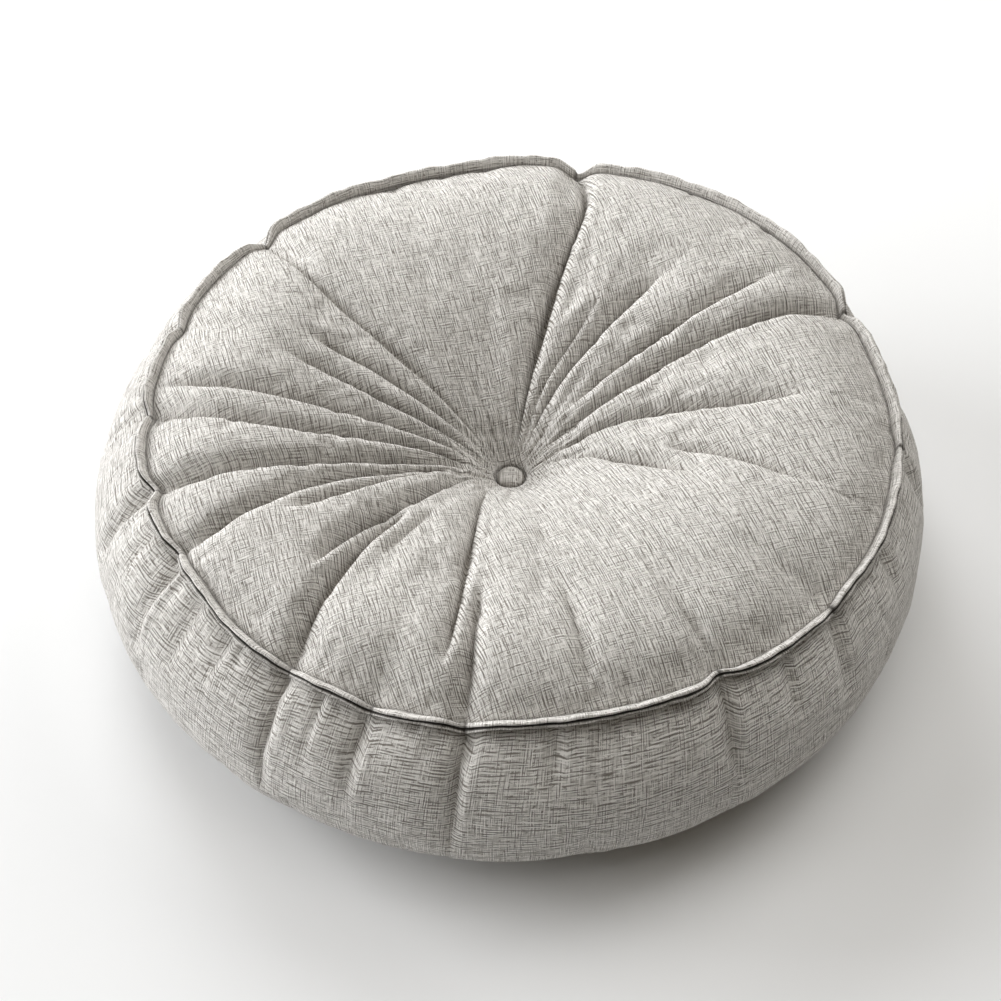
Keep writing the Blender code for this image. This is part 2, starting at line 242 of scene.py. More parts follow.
PLEATS = (
    Pleat("right", 15, 11.5, 5.0, 3.5, 1.5, 0.10, 0.78, 12.0, 9, 6, -1),
    Pleat("right high", 31, 28.5, 28.2, 26.6, 24.2, 0.10, 1.00, 12.0, 8.5, 6, -1),
    Pleat("right upper", 44, 40.5, 37.8, 35.8, 34.5, 0.20, 0.88, 10.5, 8, 5, -1),
    Pleat("back right", 63, 58.5, 53.5, 49.5, 48, 0.07, 0.68, 13.0, 9.5, 6, -1),
    Pleat("back inner", 74, 66, 62, 60, 59, 0.12, 0.52, 5.0, 7, 5, -1),
    Pleat("back", 79.5, 78.7, 77.4, 76.4, 80.5, 0.06, 1.00, 14.0, 10, 6, -1),
    Pleat("back left", 141, 142, 143, 141, 138.3, 0.10, 1.00, 6.0, 9, 6, 1),
    Pleat("left back", 151, 153.5, 155, 156, 157, 0.12, 0.66, 8.5, 9, 6, 1),
    Pleat("left high", 161.5, 165, 163.8, 162.5, 162, 0.08, 0.68, 11.5, 8, 5, 1),
    Pleat("left upper", 174, 176.8, 176.5, 176, 175, 0.12, 0.99, 12.5, 10, 6, 1),
    Pleat("left", 184, 187.5, 187, 184.2, 181.1, 0.08, 1.00, 13.0, 9, 6, 1),
    Pleat("left lower", 195, 199, 198.7, 198, 196.8, 0.10, 1.00, 14.5, 11, 6, 1),
    Pleat("left front", 203, 205.5, 206.6, 208.8, 209.8, 0.16, 1.00, 12.0, 9, 6, 1),
    Pleat("front left soft", 208, 210, 212.3, 213, 213, 0.24, 0.74, 6.5, 7, 5, 1),
    Pleat("front left inner", 213, 223.6, 225.3, 227.8, 229, 0.08, 0.80, 14.5, 10, 6, 1),
    Pleat("front left", 227, 228.5, 230, 233.7, 236.6, 0.42, 1.00, 14.0, 10, 6, 1),
    Pleat("front wrinkle", 236, 236, 236.5, 238.5, 241, 0.36, 0.66, 3.5, 7, 5, 1),
    Pleat("front", 240, 252.5, 257.3, 258.6, 257.5, 0.09, 0.90, 11.0, 8, 5.5, 1),
    Pleat("front rim", 252, 259, 261.7, 262.8, 263.1, 0.62, 1.00, 8.0, 8, 7, 1),
    Pleat("front soft", 281, 281, 281.5, 281.5, 281, 0.60, 0.99, 4.0, 11, 10, -1),
    Pleat("front right soft", 303, 302, 301.5, 301, 300.2, 0.76, 1.00, 4.0, 9, 7, -1),
    Pleat("right low", 361, 344, 337.5, 334, 332, 0.09, 0.54, 9.5, 9, 6, -1),
    Pleat("right wrinkle", 368, 353, 346, 341, 340, 0.40, 0.84, 6.0, 8, 6, -1),
)

SEAM_ROWS = (
    SeamRow(0, 1.0, 0.0), SeamRow(15, -0.5, -0.5), SeamRow(30, 2.0, 1.5), SeamRow(42, 4.0, 4.0),
    SeamRow(52, 4.5, 4.0), SeamRow(65, 3.2, 3.0), SeamRow(78, 1.0, 1.0), SeamRow(90, 0.8, 1.0),
    SeamRow(100, -1.3, -1.2), SeamRow(112, -2.1, -2.0), SeamRow(122, -1.0, -1.0),
    SeamRow(133, -1.0, -1.0), SeamRow(150, -0.8, -0.5), SeamRow(165, -1.5, -0.8),
    SeamRow(180, -1.2, -0.5), SeamRow(192, 0.0, 0.0), SeamRow(205, -1.0, 0.0),
    SeamRow(216, -3.2, 1.0), SeamRow(224, 0.0, 0.0), SeamRow(231, 1.5, -0.8),
    SeamRow(241, 0.8, -0.5), SeamRow(255, 1.2, -1.5), SeamRow(268, -0.6, 0.8),
    SeamRow(278, -2.0, 2.5), SeamRow(292, -2.2, 3.2), SeamRow(304, -1.5, 1.5),
    SeamRow(315, 0.3, -0.2), SeamRow(326, 0.5, -0.6), SeamRow(338, 2.5, -0.5),
    SeamRow(350, 1.2, 0.0), SeamRow(360, 1.0, 0.0),
)

PINCHES = (
    Pinch(24.2, 2.4, 3.5, 3.0),
    Pinch(80.5, 2.6, 3.0, 6.0),
    Pinch(138.3, 2.4, 4.0, 4.0),
    Pinch(162, 2.6, 2.5, 1.0),
    Pinch(181.1, 2.6, 2.5, 2.5),
    Pinch(196.8, 2.2, 5.5, 2.0),
    Pinch(209.8, 2.4, 2.5, 2.5),
    Pinch(236.6, 2.2, 1.5, 5.0),
    Pinch(250, 2.4, -1.0, 3.2),
    Pinch(263.1, 2.4, 0.5, 6.0),
    Pinch(300.2, 2.2, 3.5, -1.0),
    Pinch(321.5, 2.4, -1.0, 3.2),
    Pinch(354.5, 2.6, -2.5, 0.5),
)

PUCKERS = (
    Pucker(12, 0, 0.50, 3.5, 10), Pucker(24.2, 0, 0.60, 4.5, 10), Pucker(47, 0, 0.40, 2.5, 9),
    Pucker(66, -2, 0.50, 3.0, 10), Pucker(80.5, 0, 0.65, 5.0, 10), Pucker(100, 2, 0.40, 2.5, 9),
    Pucker(120, 0, 0.50, 3.0, 10), Pucker(138.3, 0, 0.65, 5.0, 10), Pucker(160, 0, 0.50, 4.0, 10),
    Pucker(177, 3, 0.55, 4.5, 10), Pucker(196.8, -7, 0.60, 5.0, 10), Pucker(204, -5, 0.60, 4.0, 9),
    Pucker(211, 0, 0.65, 5.5, 10), Pucker(219, 0, 0.50, 3.5, 9), Pucker(226, 0, 0.45, 3.0, 8),
    Pucker(236.6, 1, 0.75, 6.5, 11), Pucker(243, 0, 0.45, 3.0, 8), Pucker(249.5, 0, 0.70, 5.5, 10),
    Pucker(263.5, 0, 0.80, 5.0, 10), Pucker(276, 1, 0.35, 2.5, 8), Pucker(300.2, 4, 0.60, 4.5, 10),
    Pucker(311, 2, 0.40, 2.5, 8), Pucker(321.5, 0, 0.60, 5.0, 10), Pucker(336, 2, 0.50, 3.5, 10),
    Pucker(354, 3, 0.60, 4.5, 10),
)


@dataclass(frozen=True)
class CushionForm:
    """The cushion's driving form: where each ring and angle of its surface lies, in millimetres."""

    seam_radius: float = 248.0
    seam_height: float = 122.0
    bulge_radius: float = 280.0
    seam_centre: tuple[float, float] = (5.7, 15.0)
    button_centre: tuple[float, float] = (1.0, 0.0)
    gather_at_button: float = 0.10
    gather_full_at: float = 0.378
    steepness: float = 2.1
    sharp_depth: float = 1.0
    slope_reach: float = 0.82
    swell_rise: float = 0.06
    lip_rise: float = 0.06
    lip_slide: float = 0.16
    pucker_fade: tuple[float, float] = (0.15, 0.6)
    pucker_taper: float = 0.45

    @property
    def seam_ring(self) -> int:
        """The number of the ring that lies in the seam."""
        return self.ring_named("seam")

    def ring_named(self, name: str) -> int:
        """The number of the ring with a name."""
        return next(k for k, row in enumerate(PROFILE) if row.name == name)

    def profile(self, ring: Numbers, column: str) -> Numbers:
        """Reads a column of the profile's table between its rings.

        Args:
            ring: Ring numbers, with fractions between two rings.
            column: radius, height or follow.

        Returns:
            The column's value at each ring number.
        """
        values = [getattr(row, column) for row in PROFILE]
        return curve_through(list(range(len(PROFILE))), values, ring)

    def place(self, ring: Numbers) -> Numbers:
        """The place on the top panel from 0, the button, to 1, the seam and all beyond it."""
        share = np.minimum(self.profile(ring, "radius") / self.seam_radius, 1.0)
        return np.where(ring < self.seam_ring, share, 1.0)

    def gather(self, place: Numbers) -> Numbers:
        """How wide a pleat has opened at a place, from its start at the button to 1."""
        rest = 1.0 - self.gather_at_button
        return np.minimum(1.0, self.gather_at_button + rest * place / self.gather_full_at)

    def pleat_reach(self, pleat: Pleat, angle: Numbers, place: Numbers) -> tuple[Numbers, Numbers]:
        """How far points lie from a pleat's valley.

        Args:
            pleat: The pleat.
            angle: The angle of each point.
            place: The place of each point.

        Returns:
            The distance in millimetres, above 0 on the steep side, and that distance as a share of
            the side's width.
        """
        across = turn_between(angle, pleat.angle(place)) * pleat.lip
        width = np.where(across > 0.0, pleat.narrow, pleat.wide) * self.gather(place)
        distance = np.radians(across) * place * self.seam_radius
        return distance, np.abs(distance) / width

    def pleat_drop(self, angle: Numbers, place: Numbers, crisp: float) -> tuple[Numbers, Numbers]:
        """How far the pleats lower the top panel, and how far their lips slide over their valleys.

        Args:
            angle: The angle of each point.
            place: The place of each point.
            crisp: 0 for the plain solid's soft pleats, 1 for the sharp ones of the finished cloth.

        Returns:
            The drop in millimetres and the slide in degrees.
        """
        drop, slide = np.zeros_like(angle), np.zeros_like(angle)
        for pleat in PLEATS:
            distance, share = self.pleat_reach(pleat, angle, place)
            reach = self.gather(place) * pleat.strength(place)
            plain = np.exp(-share ** 1.2)
            steep = distance > 0.0
            cut = np.exp(-(share * self.steepness) ** 1.3)
            crest = hump(share, 1.15, 0.75)
            slope = np.logaddexp(0.0, 4.0 * (1.0 - share / self.slope_reach))
            slope = slope / math.log1p(math.exp(4.0))
            swell = hump(share, 2.3, 0.8)
            sharp = np.where(steep, cut - self.lip_rise * crest, slope - self.swell_rise * swell)
            drop += pleat.depth * reach * (plain + crisp * (self.sharp_depth * sharp - plain))
            lip = np.where(steep, hump(share, 0.42, 0.40) * smooth_step(0.0, 0.15, share), 0.0)
            over = self.lip_slide * pleat.narrow * reach * lip * min(1.0, pleat.depth / 7.0)
            slide -= crisp * pleat.lip * np.degrees(over / np.maximum(place * self.seam_radius, 1.0))
        return drop, slide

    def seam_shift(self, angle: Numbers) -> tuple[Numbers, Numbers]:
        """How far the seam stands out and up at angles, pinches included."""
        angle = angle % 360.0
        angles = [row.angle for row in SEAM_ROWS]
        out = curve_through(angles, [row.out for row in SEAM_ROWS], angle)
        up = curve_through(angles, [row.up for row in SEAM_ROWS], angle)
        for pinch in PINCHES:
            near = hump(turn_between(angle, pinch.angle), 0.0, pinch.width)
            out = out - pinch.inward * near
            up = up - pinch.drop * near
        return out, up

    def band_reach(self, ring: Numbers) -> Numbers:
        """The share of the way down the side band, from 0 at the seam to 1 at the foot."""
        seam, foot = self.seam_ring, self.ring_named("foot")
        lengths = [0.0]
        for before, after in zip(PROFILE[seam:foot], PROFILE[seam + 1:foot + 1]):
            lengths.append(lengths[-1] + before.gap(after))
        return np.interp(ring, range(seam, foot + 1), np.array(lengths) / lengths[-1])

    def pucker_reach(self, pucker: Pucker, angle: Numbers, reach: Numbers) -> tuple[Numbers, Numbers]:
        """How a pucker lies to points of the side band.

        Args:
            pucker: The pucker.
            angle: The angle of each point.
            reach: The share of the way down the band.

        Returns:
            The pucker's strength there, and the distance across it as a share of its width.
        """
        fade_from, fade_to = (pucker.reach * share for share in self.pucker_fade)
        along = smooth_step(0.0, 0.08, reach) * (1.0 - smooth_step(fade_from, fade_to, reach))
        turn = turn_between(angle, pucker.angle + pucker.lean * reach)
        return along, np.radians(turn) * self.bulge_radius / pucker.width

    def pucker_dent(self, angle: Numbers, reach: Numbers, crisp: float) -> Numbers:
        """How far the puckers draw in the side band: softly, or at crisp 1 with a steep side and a lip."""
        total = np.zeros_like(angle)
        for pucker in PUCKERS:
            along, share = self.pucker_reach(pucker, angle, reach)
            plain = np.exp(-np.abs(share) ** 1.3)
            width = 1.0 - self.pucker_taper * np.minimum(reach / pucker.reach, 1.0)
            steep = np.exp(-(np.abs(share) * 3.2 / width) ** 1.2) - 0.30 * hump(share, 0.75, 0.38)
            slope = np.exp(-(np.abs(share) * 1.5 / width) ** 1.1)
            sharp = 1.35 * np.where(share > 0.0, steep, slope)
            total += pucker.depth * along * (plain + crisp * (sharp - plain))
        return total

    def station_angle(self, station: Numbers, place: Numbers, stations: int, crowding: float) -> Numbers:
        """The angle of stations at places, so that a station runs along each pleat's valley.

        Args:
            station: Station numbers.
            place: The place of each point.
            stations: How many stations go round.
            crowding: How much closer together the stations lie along the valleys, from 0 to 1.

        Returns:
            The angle of each point in degrees.
        """
        anchors = [round(pleat.outer * stations / 360.0) for pleat in PLEATS]
        angle = np.zeros_like(place)
        for k, pleat in enumerate(PLEATS):
            after = PLEATS[(k + 1) % len(PLEATS)]
            steps = (anchors[(k + 1) % len(PLEATS)] - anchors[k]) % stations
            past = (station - anchors[k]) % stations
            low = pleat.angle(place)
            gap = (after.angle(place) - low) % 360.0
            share = past / steps
            share = share - crowding * np.sin(2.0 * math.pi * share) / (2.0 * math.pi)
            angle = np.where(past < steps, low + gap * share, angle)
        return angle

    def surface(self, ring: Numbers, angle: Numbers, crisp: float = 0.0) -> Numbers:
        """The points of the body's surface.

        Args:
            ring: The ring number of each point.
            angle: Its angle in degrees.
            crisp: 0 for the plain solid's soft pleats, 1 for the sharp ones of the finished cloth.

        Returns:
            Rows of three numbers in metres.
        """
        out, up = self.seam_shift(angle)
        radius, height = self.profile(ring, "radius"), self.profile(ring, "height")
        follow = self.profile(ring, "follow")
        place = self.place(ring)
        on_panel = np.clip(self.seam_ring - ring, 0.0, 1.0)
        drop, slide = self.pleat_drop(angle, place, crisp)
        height = height - drop * on_panel
        radius = radius - self.pucker_dent(angle, self.band_reach(ring), crisp) * (ring > self.seam_ring)
        share = np.where(ring < self.seam_ring, place, follow)
        middle = np.where(ring < self.seam_ring, 1.0, 0.0)
        radius = radius + out * follow
        height = np.maximum(height + up * follow, 0.0)
        angle = angle + slide * on_panel
        points = []
        for axis, wave in enumerate((np.cos, np.sin)):
            button, seam = self.button_centre[axis], self.seam_centre[axis]
            centre = button * middle * (1.0 - share) + seam * share
            points.append(centre + radius * wave(np.radians(angle)))
        return np.stack([*points, height], axis=1) * MM


FORM = CushionForm()


# Mesh helpers

def read_rows(data: bpy.types.bpy_prop_collection, name: str, width: int) -> Numbers:
    """Reads a property of each item of a mesh.

    Args:
        data: The items, such as vertices or an attribute's data.
        name: The property.
        width: How many numbers it has.

    Returns:
        A number for each item, or a row of numbers where the width is above 1.
    """
    flat = np.zeros(len(data) * width, np.float32)
    data.foreach_get(name, flat)
    return (flat.reshape(-1, width) if width > 1 else flat).astype(float)


def read_points(mesh: bpy.types.Mesh) -> Numbers:
    """The mesh's vertices as rows of three numbers."""
    return read_rows(mesh.vertices, "co", 3)


def write_points(mesh: bpy.types.Mesh, points: Numbers) -> None:
    """Moves the mesh's vertices to rows of three numbers."""
    mesh.vertices.foreach_set("co", points.astype(np.float32).ravel())
    mesh.update()


def read_normals(mesh: bpy.types.Mesh) -> Numbers:
    """The mesh's vertex normals as rows of three numbers."""
    return read_rows(mesh.vertex_normals, "vector", 3)


def station_numbers(points: Numbers, stations: int) -> Numbers:
    """The number of the station that each point of a spun mesh lies at."""
    turns = np.degrees(np.arctan2(points[:, 1], points[:, 0])) % 360.0 * stations / 360.0
    return np.round(turns) % stations


def new_object(name: str, mesh: bpy.types.Mesh) -> bpy.types.Object:
    """Links a new object that shows a mesh."""
    obj = bpy.data.objects.new(name, mesh)
    bpy.context.scene.collection.objects.link(obj)
    return obj


def face_outwards(bm: bmesh.types.BMesh) -> None:
    """Turns every face of a closed bmesh outwards."""
    bmesh.ops.recalc_face_normals(bm, faces=bm.faces[:])


def spun(name: str, section: Numbers, stations: int, closed: bool) -> bpy.types.Mesh:
    """Spins a section round the upright axis, and keeps each point's number in the ring layer.

    Args:
        name: The mesh's name.
        section: Rows of a radius and a height, in metres.
        stations: How many steps go round.
        closed: Whether the section's last point joins its first.

    Returns:
        The mesh, with its faces outwards.
    """
    bm = bmesh.new()
    layer = bm.verts.layers.float.new(RING_LAYER)
    verts = []
    for number, (radius, height) in enumerate(section):
        vert = bm.verts.new((radius, 0.0, height))
        vert[layer] = number
        verts.append(vert)
    edges = [bm.edges.new(pair) for pair in zip(verts, verts[1:] + verts[:1] * closed)]
    bmesh.ops.spin(bm, geom=verts + edges, cent=(0.0, 0.0, 0.0), axis=(0.0, 0.0, 1.0),
                   angle=2.0 * math.pi, steps=stations, use_merge=True, use_duplicate=False)
    face_outwards(bm)
    mesh = bpy.data.meshes.new(name)
    bm.to_mesh(mesh)
    bm.free()
    return mesh


def ring_labels(mesh: bpy.types.Mesh) -> Numbers:
    """The number of the section's point that each vertex of a spun mesh came from."""
    return np.round(read_rows(mesh.attributes[RING_LAYER].data, "value", 1)).astype(int)


def applied(obj: bpy.types.Object) -> bpy.types.Mesh:
    """The mesh of an object with its modifiers applied."""
    graph = bpy.context.evaluated_depsgraph_get()
    shown = obj.evaluated_get(graph)
    return bpy.data.meshes.new_from_object(shown, preserve_all_data_layers=True, depsgraph=graph)


def noise_at(points: Numbers, pitch: float, seed: float) -> Numbers:
    """Smooth noise between about -1 and 1 at points, with features of about a pitch.

    Args:
        points: Rows of three numbers in metres.
        pitch: The size of the features in metres.
        seed: Shifts the noise, so that two uses differ.

    Returns:
        The noise at each point.
    """
    shift = Vector((seed * 7.1, seed * 3.3, seed * 5.7))
    return np.array([noise.noise(Vector(point) / pitch + shift) for point in points])


# Cloth simulation

@dataclass(frozen=True)
class Inflation:
    """Blender's cloth under pressure, which puffs a closed cover between the places that hold it."""

    pressure: float = 4.0
    frames: int = 20
    quality: int = 5
    stretch_stiffness: float = 12.0
    bend_stiffness: float = 0.4
    slack: float = -0.012
    cap: float = 0.0055

    def swelling(self, source: bpy.types.Object, hold: Numbers) -> Numbers:
        """Simulates the cover and returns how far each vertex moves.

        Args:
            source: The closed cover. It is left as it is.
            hold: How firmly each vertex is held, from 0 to 1.

        Returns:
            The capped move of each vertex in metres, rows of three numbers.
        """
        cover = new_object("cover_trial", source.data.copy())
        group = cover.vertex_groups.new(name="hold")
        for index, weight in enumerate(hold):
            group.add([index], float(weight), "REPLACE")
        cloth = cover.modifiers.new("Cloth", "CLOTH")
        settings = cloth.settings
        settings.quality = self.quality
        settings.tension_stiffness = self.stretch_stiffness
        settings.compression_stiffness = self.stretch_stiffness
        settings.bending_stiffness = self.bend_stiffness
        settings.shrink_min = self.slack
        settings.use_pressure = True
        settings.uniform_pressure_force = self.pressure
        settings.vertex_group_mass = group.name
        settings.effector_weights.gravity = 0.0
        cloth.collision_settings.use_collision = False
        cloth.point_cache.frame_start = 1
        cloth.point_cache.frame_end = self.frames
        scene = bpy.context.scene
        for step in range(1, self.frames + 1):
            scene.frame_set(step)
        graph = bpy.context.evaluated_depsgraph_get()
        puffed = read_points(cover.evaluated_get(graph).data)
        scene.frame_set(1)
        move = puffed - read_points(source.data)
        mesh = cover.data
        bpy.data.objects.remove(cover)
        bpy.data.meshes.remove(mesh)
        length = np.linalg.norm(move, axis=1, keepdims=True)
        return move * np.minimum(1.0, self.cap / np.maximum(length, 1e-9))


# Cloth relief

@dataclass(frozen=True)
class Wrinkle:
    """A fine crease across the cloth: its angle, its two ends along the rings, its depth and its width."""

    angle: float
    lean: float
    start: float
    end: float
    depth: float
    width: float


@dataclass(frozen=True)
class WrinkleField:
    """Many fine wrinkles, drawn from a seeded list of sizes in millimetres."""

    seed: int
    count: int
    starts: tuple[float, float]
    lengths: tuple[float, float]
    depths: tuple[float, float]
    widths: tuple[float, float]
    leans: tuple[float, float]

    def wrinkles(self) -> list[Wrinkle]:
        """The field's wrinkles, one in each equal sector."""
        draw = random.Random(self.seed)
        found = []
        for k in range(self.count):
            angle = (k + draw.uniform(0.05, 0.95)) * 360.0 / self.count
            start = draw.uniform(*self.starts)
            found.append(Wrinkle(angle, draw.uniform(*self.leans), start, start + draw.uniform(*self.lengths),
                                 draw.uniform(*self.depths), draw.uniform(*self.widths)))
        return found

    def relief(self, angle: Numbers, along: Numbers, radius: Numbers) -> Numbers:
        """How far the wrinkles lower the cloth, in millimetres.

        Args:
            angle: The angle of each point.
            along: How far each point lies along the wrinkles' direction, in millimetres.
            radius: The distance of each point from the middle, in millimetres.

        Returns:
            The depth at each point.
        """
        total = np.zeros_like(angle)
        for wrinkle in self.wrinkles():
            span = wrinkle.end - wrinkle.start
            share = (along - wrinkle.start) / span
            turn = np.radians(turn_between(angle, wrinkle.angle + wrinkle.lean * share))
            distance = np.abs(turn) * radius / wrinkle.width
            near = (distance < 3.0) & (share > 0.0) & (share < 1.0)
            rise = smooth_step(0.0, 0.3, share[near]) * (1.0 - smooth_step(0.5, 1.0, share[near]))
            total[near] += wrinkle.depth * rise * np.exp(-distance[near] ** 1.6)
        return total


# Node helpers and materials

class NodeBoard:
    """Adds and joins nodes in one tree."""

    def __init__(self, tree: bpy.types.NodeTree) -> None:
        """Starts on a tree, which keeps the nodes that it has."""
        self.tree = tree
        self.column = 0

    def add(self, kind: str, **settings: object) -> bpy.types.Node:
        """Adds a node.

        Args:
            kind: The node's type.
            **settings: Properties to set on it.

        Returns:
            The new node.
        """
        node = self.tree.nodes.new(kind)
        for name, value in settings.items():
            setattr(node, name, value)
        self.column += 1
        node.location = (self.column * 180, 0)
        return node

    def feed(self, socket: bpy.types.NodeSocket, value: object) -> None:
        """Links a socket to the value, or sets it where the value is plain."""
        if isinstance(value, bpy.types.NodeSocket):
            self.tree.links.new(value, socket)
        else:
            socket.default_value = value

    def maths(self, operation: str, *values: object) -> bpy.types.NodeSocket:
        """The result of a Math node on one to three values."""
        node = self.add("ShaderNodeMath", operation=operation)
        for socket, value in zip(node.inputs, values):
            self.feed(socket, value)
        return node.outputs[0]

    def vector(self, x: object, y: object, z: object = 0.0) -> bpy.types.NodeSocket:
        """A vector joined from three values."""
        node = self.add("ShaderNodeCombineXYZ")
        for socket, value in zip(node.inputs, (x, y, z)):
            self.feed(socket, value)
        return node.outputs[0]

    def shifted(self, vector: object, move: tuple[float, float, float]) -> bpy.types.NodeSocket:
        """A vector moved by a fixed step."""
        node = self.add("ShaderNodeVectorMath", operation="ADD")
        self.feed(node.inputs[0], vector)
        self.feed(node.inputs[1], move)
        return node.outputs[0]

    def noise(self, vector: object, scale: float, detail: float) -> bpy.types.NodeSocket:
        """The value of a Noise Texture on a vector."""
        node = self.add("ShaderNodeTexNoise")
        self.feed(node.inputs["Vector"], vector)
        node.inputs["Scale"].default_value = scale
        node.inputs["Detail"].default_value = detail
        return node.outputs["Fac"]

    def remap(self, value: object, low: float, high: float, to_low: float,
              to_high: float) -> bpy.types.NodeSocket:
        """A value carried from one range to another and held inside it."""
        node = self.add("ShaderNodeMapRange", clamp=True)
        for socket, item in zip(node.inputs, (value, low, high, to_low, to_high)):
            self.feed(socket, item)
        return node.outputs[0]

    def mix(self, share: object, first: object, second: object, blend: str = "MIX") -> bpy.types.NodeSocket:
        """Two colours mixed."""
        node = self.add("ShaderNodeMix", data_type="RGBA", blend_type=blend)
        self.feed(node.inputs[0], share)
        self.feed(node.inputs[6], first)
        self.feed(node.inputs[7], second)
        return node.outputs[2]


def plain_weave_group() -> bpy.types.NodeTree:
    """The heathered plain weave: yarns that each change tone along their length, over and under each other.

    Returns:
        A node group that reads a place on the cloth in metres, and gives its colour and its height.
    """
    tree = bpy.data.node_groups.new("heathered_plain_weave", "ShaderNodeTree")
    sockets = (
        ("Place", "INPUT", "NodeSocketVector", None),
        ("Yarn Pitch", "INPUT", "NodeSocketFloat", 0.001),
        ("Slub Length", "INPUT", "NodeSocketFloat", 0.014),
        ("Middle Tone", "INPUT", "NodeSocketFloat", 0.6),
        ("Warp Contrast", "INPUT", "NodeSocketFloat", 0.5),
        ("Weft Contrast", "INPUT", "NodeSocketFloat", 0.4),
        ("Pale Yarn", "INPUT", "NodeSocketColor", (0.78, 0.76, 0.72, 1.0)),
        ("Dark Yarn", "INPUT", "NodeSocketColor", (0.22, 0.20, 0.17, 1.0)),
        ("Color", "OUTPUT", "NodeSocketColor", None),
        ("Height", "OUTPUT", "NodeSocketFloat", None),
    )
    for name, way, kind, value in sockets:
        socket = tree.interface.new_socket(name, in_out=way, socket_type=kind)
        if value is not None:
            socket.default_value = value
    board = NodeBoard(tree)
    given = board.add("NodeGroupInput").outputs
    split = board.add("ShaderNodeSeparateXYZ")
    board.feed(split.inputs[0], given["Place"])
    x, y = split.outputs[0], split.outputs[1]
    pitch, slub = given["Yarn Pitch"], given["Slub Length"]
    column, row = board.maths("DIVIDE", x, pitch), board.maths("DIVIDE", y, pitch)
    x_slub, y_slub = board.maths("DIVIDE", x, slub), board.maths("DIVIDE", y, slub)
    sway = board.maths("MULTIPLY_ADD", board.noise(given["Place"], 70.0, 1.0), 1.0, -0.5)
    warp_place = board.vector(board.maths("ADD", column, sway), y_slub, 2.0)
    weft_place = board.vector(x_slub, board.maths("SUBTRACT", row, sway), 9.0)
    streaks = []
    warp_side, weft_side = (0.75, 0.0, 0.0), (0.0, 0.75, 0.0)
    for place, side, contrast in ((warp_place, warp_side, given["Warp Contrast"]),
                                  (weft_place, weft_side, given["Weft Contrast"])):
        here, beside = (board.noise(spot, 1.1, 1.0) for spot in (place, board.shifted(place, side)))
        streak = board.maths("MULTIPLY_ADD", beside, -0.6, here)
        streak = board.remap(streak, -0.03, 0.43, -1.0, 1.0)
        strong = board.maths("MULTIPLY", streak, board.maths("ABSOLUTE", streak))
        streak = board.maths("MULTIPLY_ADD", strong, 0.6, board.maths("MULTIPLY", streak, 0.4))
        streaks.append(board.maths("MULTIPLY", streak, contrast))
    warp, weft = streaks
    warp_on_top = board.maths("GREATER_THAN", board.maths("ABSOLUTE", warp), board.maths("ABSOLUTE", weft))
    shown = board.maths("MULTIPLY_ADD", board.maths("SUBTRACT", warp, weft), warp_on_top, weft)
    mottle = board.remap(board.noise(given["Place"], 190.0, 2.0), 0.3, 0.7, -0.16, 0.16)
    tone = board.maths("ADD", given["Middle Tone"], board.maths("ADD", shown, mottle))
    fleck_place = board.vector(board.maths("MULTIPLY", column, 0.9), board.maths("MULTIPLY", row, 0.35), 5.0)
    fleck = board.remap(board.noise(fleck_place, 1.0, 0.0), 0.25, 0.34, -0.6, 0.0)
    tone = board.maths("ADD", tone, fleck)
    warp_round = board.maths("SINE", board.maths("MULTIPLY", column, 2.0 * math.pi))
    weft_round = board.maths("SINE", board.maths("MULTIPLY", row, 2.0 * math.pi))
    hump = board.maths("MULTIPLY", warp_round, weft_round)
    color = board.mix(board.remap(tone, 0.0, 1.0, 0.0, 1.0), given["Dark Yarn"], given["Pale Yarn"])
    height = board.maths("MULTIPLY_ADD", hump, 0.25, tone)
    taken = board.add("NodeGroupOutput").inputs
    board.feed(taken["Color"], color)
    board.feed(taken["Height"], height)
    return tree


class Lay(Enum):
    """Which piece of the cushion a cloth finish is for."""

    BODY = "cushion_cloth"
    FLANGE = "flange_cloth"
    BUTTON = "button_cloth"


